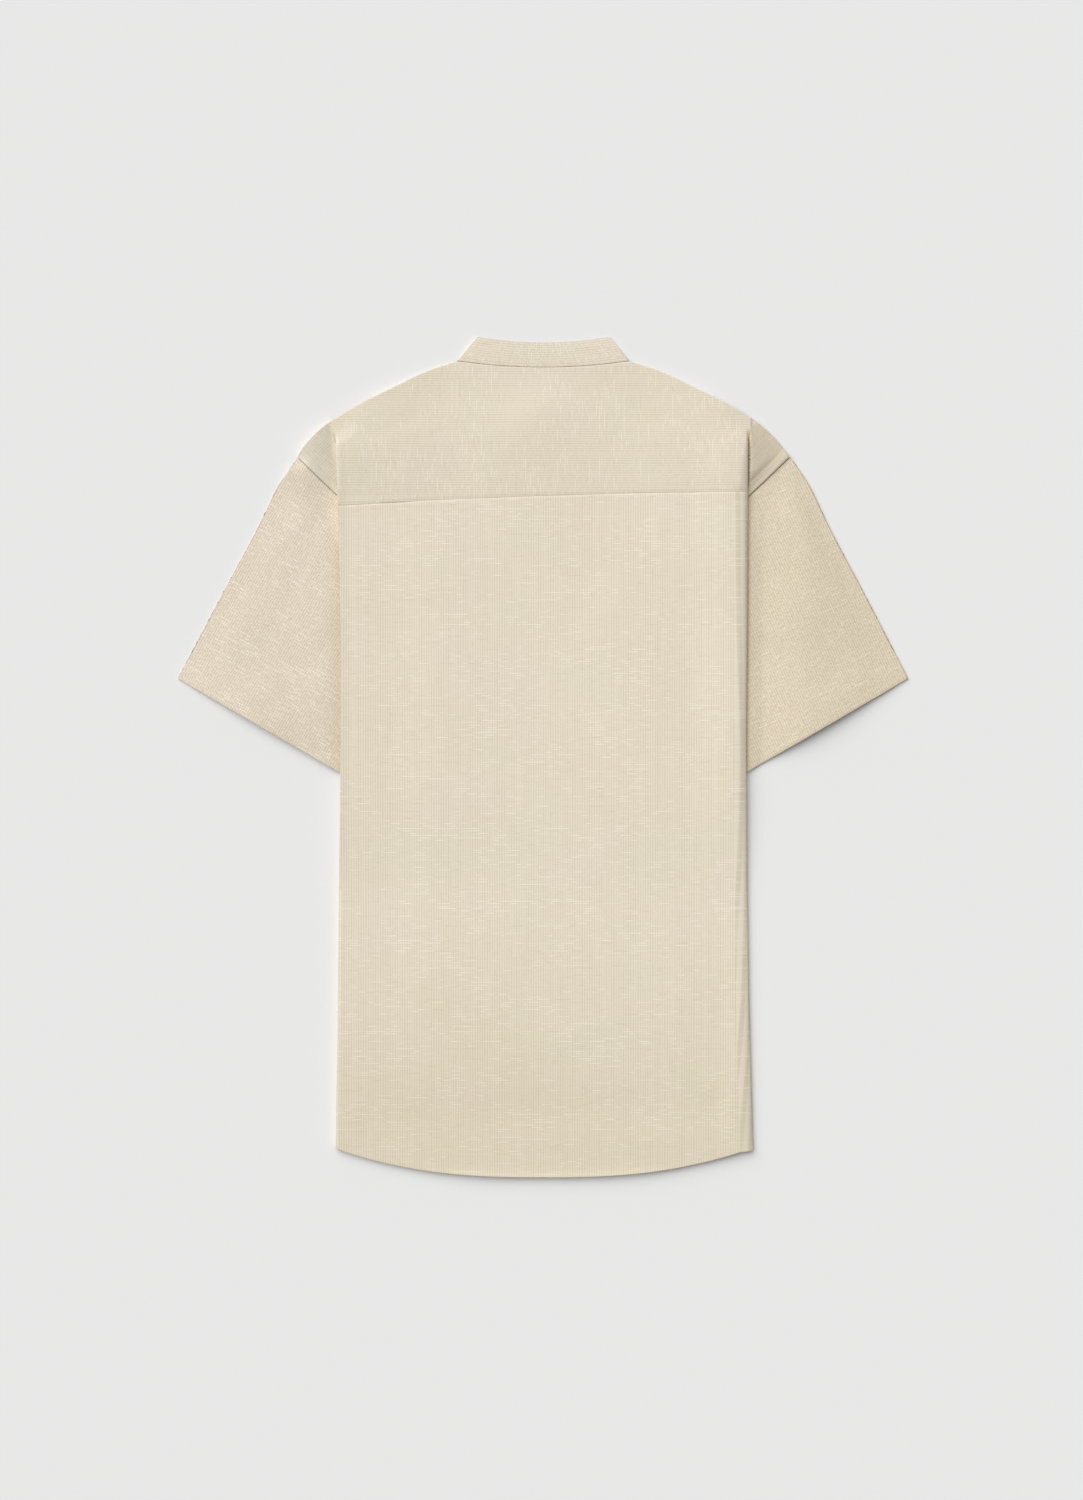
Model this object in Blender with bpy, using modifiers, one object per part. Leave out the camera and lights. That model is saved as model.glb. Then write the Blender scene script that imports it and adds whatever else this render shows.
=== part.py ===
# Short-sleeved shirt with a mandarin collar, laid flat on its front with both sides folded under
import math
from collections import namedtuple

import bmesh
import bpy

# Sizes are in millimetres, and MM makes them metres. X runs to the right of someone looking down
# at the back of the shirt, Y towards the collar and Z up. The floor is at Z = 0.
MM = 0.001

# Cloth and how close its layers lie
WALL = 1.0
SEAM_GAP = 0.3
LAYER_STEP = 1.6
FLOOR_LEVEL = WALL / 2
UPPER_LEVEL = FLOOR_LEVEL + LAYER_STEP

# Body, as laid
HEM_MIDDLE_Y = -394.3
HEM_RISE = 27.0
HEM_POWER = 2.6
HEM_HALF_WIDTH = 195.0
FRONT_HEM_SHORTER = 12.0
YOKE_SEAM_Y = 244.8
YOKE_SEAM_TILT = 0.034
YOKE_SEAM_SAG = 3.0
FRONT_YOKE_DEPTH = 35.0
MIDDLE_BACK_LEVEL = 5.4
YOKE_EASE = 0.38

# Neck and collar
NECK_HALF_WIDTH = 80.8
NECK_SIDE_Y = 371.8
NECK_BACK_Y = 366.0
NECK_FRONT_DROP = 75.0
COLLAR_TOP_HALF_WIDTH = 62.5
COLLAR_TOP_Y = 389.2
COLLAR_TOP_SIDE_Y = 394.3
COLLAR_HEIGHT = 24.0
SHOULDER_START_X = 83.0

# Side folds: the fold line, the turns of the cloth in it and the hidden lap that is turned under
FOLD_RADIUS = 2.6
LAP_RADIUS = 0.75
FOLD_OPENING_RUN = 18.0
LAP_START = 14.0
LAP_GROWTH_RUN = 10.0
LAP_ANGLE = math.radians(22.0)
UNDERARM_Y = 80.0
ARMHOLE_TOP_LAP = 46.0
ARMHOLE_TURN_Y = 192.0
SIDE_SEAM_LAP = 79.0
RAMP_WIDTH = 44.0
RAMP_CLEARANCE = 4.0

# Sleeves
SLEEVE_UNDER_BODY_END = -30.0
SLEEVE_LIFT_RUN = 50.0
SLEEVE_LIFT = 3.1
SLEEVE_TURN_RADIUS = LAYER_STEP / 2
CUFF_LIFT = 1.2
CUFF_OUTER = (343.1, 73.8)
CUFF_INNER = (170.3, -26.7)
UNDERARM = (104.0, 87.0)
ARMHOLE_PULL_TIP = (-75.0, -76.0)
ARMHOLE_PULL_UNDERARM = (8.0, 103.0)
SHOULDER_BULGE = 5.0

# Closure
BUTTON_STAND = 12.0
BUTTON_DIAMETER = 11.0
BUTTON_THICKNESS = 2.0
PLACKET_RUN = 32.0
LEFT_PLACKET_LEVEL = BUTTON_THICKNESS + SEAM_GAP + WALL / 2
RIGHT_PLACKET_LEVEL = LEFT_PLACKET_LEVEL + WALL + SEAM_GAP
COLLAR_BUTTON_Y = NECK_SIDE_Y - NECK_FRONT_DROP + COLLAR_HEIGHT / 2
FIRST_BUTTON_Y = 227.0
BUTTON_SPACING = 85.0
PLACKET_BUTTONS = 6

# How finely the cloth is divided
TURN_STEPS = 4
LAP_STEPS = 3
LEDGE_STEPS = 3
SLEEVE_ACROSS = 9
SLEEVE_ALONG = 11
COLLAR_BACK_STEPS = 8
COLLAR_FRONT_STEPS = 9

Side = namedtuple("Side", "name sign apex_y tip")
LEFT = Side("left", -1, 305.0, (230.3, 281.5))
RIGHT = Side("right", 1, 307.5, (232.0, 282.2))

Layer = namedtuple("Layer", "level inset")
BACK_LAYER = Layer(UPPER_LEVEL, 0.0)
FRONT_LAYER = Layer(FLOOR_LEVEL, LAYER_STEP)

FoldRow = namedtuple("FoldRow", "y left right")
FOLD_OUTLINE = (
    FoldRow(-368.0, 194.6, 197.4),
    FoldRow(-230.0, 192.8, 193.6),
    FoldRow(-135.0, 191.8, 192.2),
    FoldRow(0.0, 189.9, 190.8),
    FoldRow(130.0, 189.9, 191.8),
    FoldRow(240.0, 192.7, 192.2),
    FoldRow(316.0, 195.5, 192.7),
)

ShoulderPoint = namedtuple("ShoulderPoint", "x y")
SHOULDER_OUTLINE = (
    ShoulderPoint(80.8, 371.8),
    ShoulderPoint(111.0, 361.5),
    ShoulderPoint(142.0, 346.4),
    ShoulderPoint(170.0, 332.4),
    ShoulderPoint(196.0, 316.2),
    ShoulderPoint(215.0, 301.5),
    ShoulderPoint(230.0, 286.0),
)

OverarmPoint = namedtuple("OverarmPoint", "along out")
OVERARM_BULGE = (
    OverarmPoint(0.0, 0.0),
    OverarmPoint(0.06, 3.4),
    OverarmPoint(0.15, 5.6),
    OverarmPoint(0.33, 3.0),
    OverarmPoint(0.6, 2.0),
    OverarmPoint(1.0, 0.0),
)

MAIN_COLUMNS = (0, 30, 58, 70, 83, 97, 111, 125, 139, 153, 167, 178, 184)
FRONT_COLUMNS = (-12, 0, 12, 22, 34, 46, *MAIN_COLUMNS[2:])
BODY_ROWS = (-310, -230, -160, -110, -85, -65, -45, -28, 20, 60, 90, 115, 140, 165, 192, 216)
UPPER_FRONT_ROWS = (240, 262)
YOKE_ROWS = (0.0, 0.2, 0.4, 0.56, 0.63, 0.69, 0.75, 0.81, 0.87, 0.94, 1.0)
FRONT_YOKE_ROWS = (0.0, 0.16, 0.32, 0.45, 0.57, 0.7, 0.85, 1.0)


def smooth(share):
    share = min(max(share, 0.0), 1.0)
    return share * share * (3.0 - 2.0 * share)


def between(start, end, share):
    return start + (end - start) * share


def read_table(rows, value, column):
    """The column's value at this value of the table's first column, on straight lines between rows."""
    for low, high in zip(rows, rows[1:]):
        if value <= high[0]:
            break
    share = (value - low[0]) / (high[0] - low[0])
    return between(getattr(low, column), getattr(high, column), share)


def hem_y(x):
    return HEM_MIDDLE_Y + HEM_RISE * (abs(x) / HEM_HALF_WIDTH) ** HEM_POWER


def yoke_seam_y(x):
    tilt = YOKE_SEAM_TILT * max(-HEM_HALF_WIDTH, min(HEM_HALF_WIDTH, x))
    return YOKE_SEAM_Y + tilt - YOKE_SEAM_SAG * min(1.0, (x / HEM_HALF_WIDTH) ** 2)


def yoke_top_y(x):
    """The back neck seam in the middle, and the shoulder's fold on either side of it."""
    if abs(x) < NECK_HALF_WIDTH:
        rise = (NECK_SIDE_Y - NECK_BACK_Y) * (x / NECK_HALF_WIDTH) ** 2
        return NECK_BACK_Y + rise - SEAM_GAP
    return read_table(SHOULDER_OUTLINE, abs(x), "y") - LAYER_STEP / 2 - WALL / 2


def front_top_y(x):
    """The neckline in the middle, and the seam to the yoke beside it."""
    seam = yoke_top_y(max(abs(x), NECK_HALF_WIDTH)) - FRONT_YOKE_DEPTH - SEAM_GAP
    across = min(abs(x) / NECK_HALF_WIDTH, 1.0)
    neckline = NECK_SIDE_Y - NECK_FRONT_DROP * math.sqrt(1.0 - across**2) - SEAM_GAP
    return min(seam, neckline)


def fold_x(side, y):
    return read_table(FOLD_OUTLINE, y, side.name)


def turn_start_x(side, y):
    """Where the cloth begins to turn, so that its outer face ends on the fold's outline."""
    return fold_x(side, y) - FOLD_RADIUS - WALL / 2


def lap_width(side, y):
    """How far the side is turned under: to the second fold, then to the armhole or the side seam."""
    to_second_fold = math.tan(LAP_ANGLE) * max(side.apex_y - y, 0.0)
    down_armhole = smooth((ARMHOLE_TURN_Y - y) / (ARMHOLE_TURN_Y - UNDERARM_Y))
    return min(to_second_fold, between(ARMHOLE_TOP_LAP, SIDE_SEAM_LAP, down_armhole))


Fold = namedtuple("Fold", "turn radius lap_radius lap height")


def fold_at(side, y):
    """The double fold at one height: flat at the apex, and fully turned a little below it."""
    below = side.apex_y - y
    turn = max(math.pi * smooth(below / FOLD_OPENING_RUN), 0.02)
    share = turn / math.pi
    radius = between(2.5, math.pi * FOLD_RADIUS, share**2) / turn
    lap_radius = between(1.5, math.pi * LAP_RADIUS, share) / turn
    lap = between(0.6, lap_width(side, y), smooth((below - LAP_START) / LAP_GROWTH_RUN))
    height = (radius + lap_radius) * (1.0 - math.cos(turn)) + lap * math.sin(turn)
    past_sleeve = 1.0 - smooth((y - SLEEVE_UNDER_BODY_END) / SLEEVE_LIFT_RUN + 1.0)
    return Fold(turn, radius, lap_radius, lap, height - SLEEVE_LIFT * past_sleeve)


def fold_row_y(side, x, y):
    """Where the fold has the height that a point of the body has: level with it below the yoke
    seam, and at the same share of the way to the shoulder above it."""
    x = min(abs(x), HEM_HALF_WIDTH)
    seam = yoke_seam_y(side.sign * x)
    fold_seam = yoke_seam_y(side.sign * HEM_HALF_WIDTH)
    share = (y - seam) / (yoke_top_y(x) - seam)
    if share < 0.0:
        return y + fold_seam - seam
    return between(fold_seam, yoke_top_y(HEM_HALF_WIDTH), share)


def main_points(side, layer, columns, y_of, middle_level):
    """The row's points from the middle of the body to where the cloth begins to turn."""
    end = turn_start_x(side, y_of(HEM_HALF_WIDTH))
    points = []
    for x in [*(column for column in columns if column < end - 2.0), end]:
        y = y_of(x)
        height_y = fold_row_y(side, x, y)
        fold = fold_at(side, height_y)
        lap_end = turn_start_x(side, height_y) - fold.lap - RAMP_CLEARANCE
        held_up = smooth((x - lap_end + RAMP_WIDTH) / RAMP_WIDTH)
        points.append((x, y, between(middle_level(x), layer.level + fold.height, held_up)))
    return points


def turned_points(layer, fold, y_of, start):
    """The first turn and the lap under it, from the last point of the main part."""
    x, _, z = start
    radius = fold.radius - layer.inset
    points = []
    run = 0.0
    for step in range(1, TURN_STEPS + 1):
        angle = fold.turn * step / TURN_STEPS
        run = radius * angle
        points.append((x + radius * math.sin(angle), y_of(x + run), z - radius * (1 - math.cos(angle))))
    x, _, z = points[-1]
    for step in range(1, LAP_STEPS + 1):
        length = fold.lap * step / LAP_STEPS
        inward = length * math.cos(fold.turn)
        points.append((x + inward, y_of(start[0] + run + length), z - length * math.sin(fold.turn)))
    return points


def armhole_curve(side):
    """The laid armhole seam from the shoulder's tip to the underarm, as a Bezier curve's points."""
    pull = [tip + by for tip, by in zip(side.tip, ARMHOLE_PULL_TIP)]
    low_pull = [end + by for end, by in zip(UNDERARM, ARMHOLE_PULL_UNDERARM)]
    points = []
    for step in range(41):
        t = step / 40
        weights = ((1 - t) ** 3, 3 * t * (1 - t) ** 2, 3 * t**2 * (1 - t), t**3)
        corners = (side.tip, pull, low_pull, UNDERARM)
        points.append(tuple(sum(w * c[axis] for w, c in zip(weights, corners)) for axis in (0, 1)))
    return points


def point_along(points, run):
    for start, end in zip(points, points[1:]):
        length = math.dist(start, end)
        if run <= length or end == points[-1]:
            return tuple(between(a, b, run / length) for a, b in zip(start, end))
        run -= length


def length_of(points):
    return sum(math.dist(start, end) for start, end in zip(points, points[1:]))


def ledge_points(side, layer, fold, row_y, edge_share, start):
    """The second turn and the ledge beyond it, out to the armhole seam."""
    x, y, z = start
    radius = fold.lap_radius + layer.inset
    points = []
    for step in range(1, TURN_STEPS + 1):
        angle = fold.turn * (1 - step / TURN_STEPS)
        across = x + radius * (math.sin(fold.turn) - math.sin(angle))
        points.append((across, y, z - radius * (math.cos(angle) - math.cos(fold.turn))))
    x, y, z = points[-1]
    shoulder_y = yoke_top_y(fold_x(side, row_y))
    end = point_along(armhole_curve(side), max(shoulder_y - row_y, 0.0))
    gap = SEAM_GAP / 2
    for step in range(1, LEDGE_STEPS + 1):
        share = step / LEDGE_STEPS
        bulge = SHOULDER_BULGE * 4 * share * (1 - share) * edge_share**2
        to_x = between(x, end[0] - gap, share) + 0.6 * bulge
        points.append((to_x, between(y, end[1] + gap, share) + 0.8 * bulge, z))
    return points


def grid_mesh(rows, closed=False):
    """One open sheet through rows of points, all of the same length."""
    across = len(rows[0])
    mesh = bmesh.new()
    bmesh.ops.create_grid(mesh, x_segments=across - 1, y_segments=len(rows) - 1, size=1.0)
    mesh.verts.ensure_lookup_table()
    for row_index, row in enumerate(rows):
        for column, point in enumerate(row):
            mesh.verts[row_index * across + column].co = [value * MM for value in point]
    if closed:
        bmesh.ops.remove_doubles(mesh, verts=mesh.verts, dist=1e-7)
    return mesh


def material(name, colour, roughness):
    made = bpy.data.materials.new(name)
    made.use_nodes = True
    shader = made.node_tree.nodes["Principled BSDF"]
    shader.inputs["Base Color"].default_value = (*colour, 1.0)
    shader.inputs["Roughness"].default_value = roughness
    return made


def add_object(name, mesh, finish, collection):
    data = bpy.data.meshes.new(name)
    mesh.to_mesh(data)
    mesh.free()
    data.materials.append(finish)
    made = bpy.data.objects.new(name, data)
    collection.objects.link(made)
    return made


def add_cloth(name, mesh, finish, collection):
    cloth = add_object(name, mesh, finish, collection)
    wall = cloth.modifiers.new("Wall", "SOLIDIFY")
    wall.thickness = WALL * MM
    wall.offset = 0.0
    wall.use_even_offset = True
    return cloth


def mirrored(points, side):
    return [(side.sign * x, y, z) for x, y, z in points]


def whole_row(half_rows):
    """Both halves of a row as one, from the left end to the right end."""
    left, right = half_rows
    return [*reversed(left), *right[1:]]


def body_half_row(side, layer, columns, y_of, middle_level):
    """One row from the middle to the end of the lap, and its fold. y_of gives the row's course."""
    points = main_points(side, layer, columns, y_of, middle_level)
    x, y, _ = points[-1]
    fold = fold_at(side, fold_row_y(side, x, y))
    return points + turned_points(layer, fold, y_of, points[-1]), fold


def back_half_row(side, share):
    def y_of(x):
        return between(hem_y(x), yoke_seam_y(side.sign * x) - SEAM_GAP / 2, share)

    row, _ = body_half_row(side, BACK_LAYER, MAIN_COLUMNS, y_of, lambda x: MIDDLE_BACK_LEVEL)
    return mirrored(row, side)


def make_back(finish, collection):
    low = hem_y(HEM_HALF_WIDTH)
    shares = [0.0, *((y - low) / (YOKE_SEAM_Y - low) for y in BODY_ROWS), 1.0]
    rows = [whole_row([back_half_row(side, share) for side in (LEFT, RIGHT)]) for share in shares]
    return add_cloth("back", grid_mesh(rows), finish, collection)


def yoke_half_row(side, layer, y_of, edge_share):
    def middle_level(x):
        if layer is FRONT_LAYER:
            return FLOOR_LEVEL
        return between(UPPER_LEVEL, MIDDLE_BACK_LEVEL, smooth((1 - edge_share) / YOKE_EASE))

    row, fold = body_half_row(side, layer, MAIN_COLUMNS, y_of, middle_level)
    row += ledge_points(side, layer, fold, y_of(HEM_HALF_WIDTH), edge_share, row[-1])
    return mirrored(row, side)


def back_yoke_half_row(side, share):
    def y_of(x):
        x = min(x, HEM_HALF_WIDTH)
        return between(yoke_seam_y(side.sign * x) + SEAM_GAP / 2, yoke_top_y(x), share)

    return yoke_half_row(side, BACK_LAYER, y_of, share)


def front_yoke_half_row(side, share):
    def y_of(x):
        return yoke_top_y(min(max(x, NECK_HALF_WIDTH), HEM_HALF_WIDTH)) - FRONT_YOKE_DEPTH * share

    return yoke_half_row(side, FRONT_LAYER, y_of, 1.0 - share / 2)


def shoulder_turn_rows(edge_row):
    """The rows that carry the yoke round the shoulder's fold to the front."""
    rows = []
    radius = LAYER_STEP / 2
    for step in range(1, TURN_STEPS):
        angle = math.pi * step / TURN_STEPS
        out = radius * math.sin(angle)
        down = radius * (1 - math.cos(angle))
        rows.append([(x, y + out, z - down) for x, y, z in edge_row])
    return rows


def make_yoke(finish, collection):
    sides = (LEFT, RIGHT)
    rows = [whole_row([back_yoke_half_row(side, share) for side in sides]) for share in YOKE_ROWS]
    first_turned = len(rows) - 1
    rows += shoulder_turn_rows(rows[-1])
    for share in FRONT_YOKE_ROWS:
        rows.append(whole_row([front_yoke_half_row(side, share) for side in sides]))
    mesh = grid_mesh(rows)
    across = len(rows[0])
    mesh.verts.ensure_lookup_table()
    turned = set(mesh.verts[across * first_turned :])
    reach = (SHOULDER_START_X + 0.1) * MM
    neck = [f for f in mesh.faces if set(f.verts) <= turned and all(abs(v.co.x) < reach for v in f.verts)]
    bmesh.ops.delete(mesh, geom=neck, context="FACES")
    return add_cloth("yoke", mesh, finish, collection)


def placket_level(x, side):
    """How far the overlapping front edges are held up by the buttons under them."""
    top = LEFT_PLACKET_LEVEL if side is LEFT else RIGHT_PLACKET_LEVEL
    stand = BUTTON_STAND + (2.0 if side is LEFT else 4.0)
    return between(top, FLOOR_LEVEL, smooth((abs(x) - stand) / PLACKET_RUN))


def front_half_row(side, share):
    def y_of(x):
        top = front_top_y(min(abs(x), HEM_HALF_WIDTH))
        return between(hem_y(x) + FRONT_HEM_SHORTER, top, share)

    row, _ = body_half_row(side, FRONT_LAYER, FRONT_COLUMNS, y_of, lambda x: placket_level(x, side))
    return mirrored(row, side)


def make_front(side, finish, collection):
    low = hem_y(HEM_HALF_WIDTH) + FRONT_HEM_SHORTER
    high = front_top_y(HEM_HALF_WIDTH)
    shares = [0.0, *((y - low) / (high - low) for y in (*BODY_ROWS, *UPPER_FRONT_ROWS)), 1.0]
    rows = [front_half_row(side, share) for share in shares]
    return add_cloth(f"front_{side.name}", grid_mesh(rows), finish, collection)


def sleeve_plan_point(side, across, along):
    """A place on the laid sleeve: across from its outer fold, and along from armhole to cuff."""
    armhole = armhole_curve(side)
    head = point_along(armhole, across * length_of(armhole))
    cuff = [between(outer, inner, across) for outer, inner in zip(CUFF_OUTER, CUFF_INNER)]
    x = between(head[0], cuff[0], along)
    y = between(head[1], cuff[1], along)
    out = read_table(OVERARM_BULGE, along, "out") * (1 - across) ** 2
    return x + 0.88 * out, y + 0.48 * out


def sleeve_ring(side, along):
    """One closed ring of the flattened sleeve: over the top, round the inner fold and back below."""
    inset = (SLEEVE_TURN_RADIUS + WALL / 2) / 200.0
    lift = CUFF_LIFT * smooth((along - 0.5) / 0.5)
    ring = []
    for step in range(SLEEVE_ACROSS + 1):
        across = between(inset, 1 - inset, step / SLEEVE_ACROSS)
        raised = lift * math.sin(math.pi * min(1.0, across / 0.8)) if across < 0.8 else 0.0
        ring.append((*sleeve_plan_point(side, across, along), UPPER_LEVEL + raised))
    ring += sleeve_edge_turn(side, along, 1 - inset, 1)
    for step in range(SLEEVE_ACROSS + 1):
        across = between(1 - inset, inset, step / SLEEVE_ACROSS)
        ring.append((*sleeve_plan_point(side, across, along), FLOOR_LEVEL))
    ring += sleeve_edge_turn(side, along, inset, -1)
    ring.append(ring[0])
    return mirrored(ring, side)


def sleeve_edge_turn(side, along, across, inner):
    """The points of one edge fold, from the upper half down or from the lower half up."""
    x, y = sleeve_plan_point(side, across, along)
    towards_x, towards_y = (-0.87, -0.49) if inner > 0 else (0.88, 0.48)
    points = []
    for step in range(1, TURN_STEPS):
        angle = math.pi * step / TURN_STEPS
        out = SLEEVE_TURN_RADIUS * math.sin(angle)
        height = SLEEVE_TURN_RADIUS * math.cos(angle) * inner
        points.append((x + towards_x * out, y + towards_y * out, FLOOR_LEVEL + SLEEVE_TURN_RADIUS + height))
    return points


def make_sleeve(side, finish, collection):
    seam = SEAM_GAP / 2 / 236.0
    rows = []
    for step in range(SLEEVE_ALONG + 1):
        rows.append(sleeve_ring(side, between(seam, 1.0, step / SLEEVE_ALONG)))
    mesh = grid_mesh(rows, closed=True)
    if side is RIGHT:
        bmesh.ops.reverse_faces(mesh, faces=mesh.faces)
    return add_cloth(f"sleeve_{side.name}", mesh, finish, collection)


def collar_half(side):
    """Pairs of base and top points, from the middle of the back round to the end at the front."""
    edge = LAYER_STEP / 2 + WALL / 2
    half_width = NECK_HALF_WIDTH - edge
    top_half_width = COLLAR_TOP_HALF_WIDTH - edge
    pairs = []
    for step in range(COLLAR_BACK_STEPS + 1):
        share = step / COLLAR_BACK_STEPS
        base = (half_width * share, between(NECK_BACK_Y, NECK_SIDE_Y, share**2), UPPER_LEVEL)
        top = (
            top_half_width * share,
            between(COLLAR_TOP_Y, COLLAR_TOP_SIDE_Y, share**2) - WALL / 2,
            UPPER_LEVEL,
        )
        pairs.append((base, top))
    base, top = pairs[-1]
    for step in range(1, TURN_STEPS):
        angle = math.pi * step / TURN_STEPS
        out = LAYER_STEP / 2 * math.sin(angle)
        down = LAYER_STEP / 2 * (1 - math.cos(angle))
        pairs.append(tuple((x + out, y, z - down) for x, y, z in (base, top)))
    slant = (top[0] - base[0], top[1] - base[1])
    for step in range(COLLAR_FRONT_STEPS + 2):
        angle = min(step / COLLAR_FRONT_STEPS, 1.0) * math.pi / 2
        past = BUTTON_STAND if step > COLLAR_FRONT_STEPS else 0.0
        x = half_width * math.cos(angle) - past
        y = NECK_SIDE_Y - NECK_FRONT_DROP * math.sqrt(1.0 - (x / half_width) ** 2)
        inward = (-NECK_FRONT_DROP * math.cos(angle), half_width * math.sin(angle))
        scale = COLLAR_HEIGHT / math.hypot(*inward)
        share = smooth(angle / 0.9)
        across = [between(a, b * scale, share) for a, b in zip(slant, inward)]
        base = (x, y, placket_level(x, side))
        top_x = x + across[0]
        pairs.append((base, (top_x, y + across[1], placket_level(top_x, side))))
    return [tuple(mirrored(pair, side)) for pair in pairs]


def make_collar(finish, collection):
    pairs = whole_row([collar_half(LEFT), collar_half(RIGHT)])
    rows = []
    for share in (0.0, 0.5, 1.0):
        rows.append([[between(a, b, share) for a, b in zip(base, top)] for base, top in pairs])
    return add_cloth("collar", grid_mesh(rows), finish, collection)


def make_button(name, y, finish, collection):
    mesh = bmesh.new()
    bmesh.ops.create_cone(
        mesh,
        cap_ends=True,
        segments=20,
        radius1=BUTTON_DIAMETER / 2 * MM,
        radius2=BUTTON_DIAMETER / 2 * MM,
        depth=BUTTON_THICKNESS * MM,
    )
    button = add_object(name, mesh, finish, collection)
    button.location = (0.0, y * MM, BUTTON_THICKNESS / 2 * MM)
    rim = button.modifiers.new("Rim", "BEVEL")
    rim.width = 0.35 * MM
    rim.segments = 1
    return button


def main():
    for old in list(bpy.data.objects):
        bpy.data.objects.remove(old, do_unlink=True)
    shirt = bpy.data.collections.new("mandarin_collar_shirt")
    bpy.context.scene.collection.children.link(shirt)
    shirting = material("shirting", (0.76, 0.68, 0.54), 0.85)
    button_finish = material("button", (0.80, 0.77, 0.70), 0.35)
    make_back(shirting, shirt)
    make_yoke(shirting, shirt)
    make_collar(shirting, shirt)
    for side in (LEFT, RIGHT):
        make_front(side, shirting, shirt)
        make_sleeve(side, shirting, shirt)
    make_button("collar_button", COLLAR_BUTTON_Y, button_finish, shirt)
    for number in range(PLACKET_BUTTONS):
        y = FIRST_BUTTON_Y - BUTTON_SPACING * number
        make_button(f"placket_button_{number + 1}", y, button_finish, shirt)


main()
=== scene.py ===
# Looks of the short-sleeved shirt with a mandarin collar, laid flat with its back up
import random
from collections import namedtuple
from math import cos, dist, exp, hypot, pi, radians, sin, sqrt, tan, tau

import bmesh
import bpy
from mathutils import Matrix, Vector
from mathutils.bvhtree import BVHTree


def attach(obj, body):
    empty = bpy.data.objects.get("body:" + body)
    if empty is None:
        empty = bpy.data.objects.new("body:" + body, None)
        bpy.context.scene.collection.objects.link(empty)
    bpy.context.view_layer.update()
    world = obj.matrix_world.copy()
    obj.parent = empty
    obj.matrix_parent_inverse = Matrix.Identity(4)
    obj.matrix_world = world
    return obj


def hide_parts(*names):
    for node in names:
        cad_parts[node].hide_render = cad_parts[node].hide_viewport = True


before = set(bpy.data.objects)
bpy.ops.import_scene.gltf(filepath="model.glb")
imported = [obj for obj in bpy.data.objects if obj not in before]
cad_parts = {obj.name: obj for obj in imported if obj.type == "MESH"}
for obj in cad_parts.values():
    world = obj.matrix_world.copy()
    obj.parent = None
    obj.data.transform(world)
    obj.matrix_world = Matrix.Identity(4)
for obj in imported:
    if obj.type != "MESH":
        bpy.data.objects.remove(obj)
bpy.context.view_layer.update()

# Sizes are in millimetres, and MM makes them metres
MM = 0.001


def table(columns, *rows):
    """Rows of numbers whose columns have names."""
    row_type = namedtuple("Row", columns)
    return [row_type(*row) for row in rows]


# Cloth and how close its layers lie, as in the solids
WALL = 0.5
SOLID_WALL = 1
LAYER_STEP = 1.6
FLOOR_LEVEL = SOLID_WALL / 2
UPPER_LEVEL = FLOOR_LEVEL + LAYER_STEP

# Body, as laid
HEM_MIDDLE_Y = -394.3
HEM_RISE = 27
HEM_POWER = 2.6
HEM_HALF_WIDTH = 195
FRONT_HEM_SHORTER = 12
HEM_TURN_DEPTH = 9
HEM_TURN_RADIUS = 0.27
HEM_TURN_STEPS = 6
HEM_TURN_SHARES = (0.3, 0.65, 1)
HEM_CURL = 1.5
HEM_CURL_RUN = 4
HEM_CURL_MIDDLE_X = 10
HEM_CURL_HALF_WIDTH = 150
HEM_CURL_FADE = 90
YOKE_SEAM_Y = 244.8
YOKE_SEAM_TILT = 0.034
YOKE_SEAM_SAG = 3
FRONT_YOKE_DEPTH = 35
MIDDLE_BACK_LEVEL = 5.4
MIDDLE_BACK_RISE = 1.3
BACK_RAMP_WIDTH = 105
SHOULDER_STAND = 3.8
FULL_STAND = 6.7
SHOULDER_STAND_RUN = 40
SOFT_MAX_WIDTH = 3
YOKE_EASE = 1
YOKE_MIDDLE_EASE = 0.5
SEAM_ALLOWANCE = 8
SEAM_STEP = 0.75
SEAM_STEP_RUN = 1.6
# Where the yoke is pressed down along its edge and its stitches: above the seam, width, depth
YOKE_DENTS = ((0, 0.9, 0.35), (1.7, 0.5, 0.18))
YOKE_CREASE_FADE = 12
COLLAR_SEAM_DEPTH = 0.45
COLLAR_SEAM_RUN = 1.2

# Neck and collar
NECK_HALF_WIDTH = 80.8
NECK_SIDE_Y = 371.8
NECK_BACK_Y = 366
NECK_FRONT_DROP = 75
COLLAR_TOP_HALF_WIDTH = 62.5
COLLAR_TOP_Y = 389.2
COLLAR_TOP_SIDE_Y = 394.3
COLLAR_HEIGHT = 24
COLLAR_WALL = 0.9
# How far round the front, as an angle, the band leans as at the back, and how full it is there
COLLAR_LEAN_END = 0.9
COLLAR_FULLNESS = 0.35
COLLAR_FULL_DEPTH = 6
# How far the band's end turns past the middle of the front
COLLAR_END_TURN = 0.1
SHOULDER_START_X = 83

# Side folds
FOLD_RADIUS = 2.6
LAP_RADIUS = 0.75
FOLD_OPENING_RUN = 18
LAP_START = 14
LAP_GROWTH_RUN = 10
LAP_ANGLE = radians(22)
LEAST_TURN = 0.02
LEAST_FOLD_ARC = 2.5
LEAST_LAP_ARC = 1.5
LEAST_LAP = 0.6
UNDERARM_Y = 80
ARMHOLE_TOP_LAP = 46
ARMHOLE_TURN_Y = 192
SIDE_SEAM_LAP = 79
SIDE_CREASE_END = 179
SIDE_CREASE_FADE = 16
RAMP_WIDTH = 44
RAMP_CLEARANCE = 4

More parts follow.
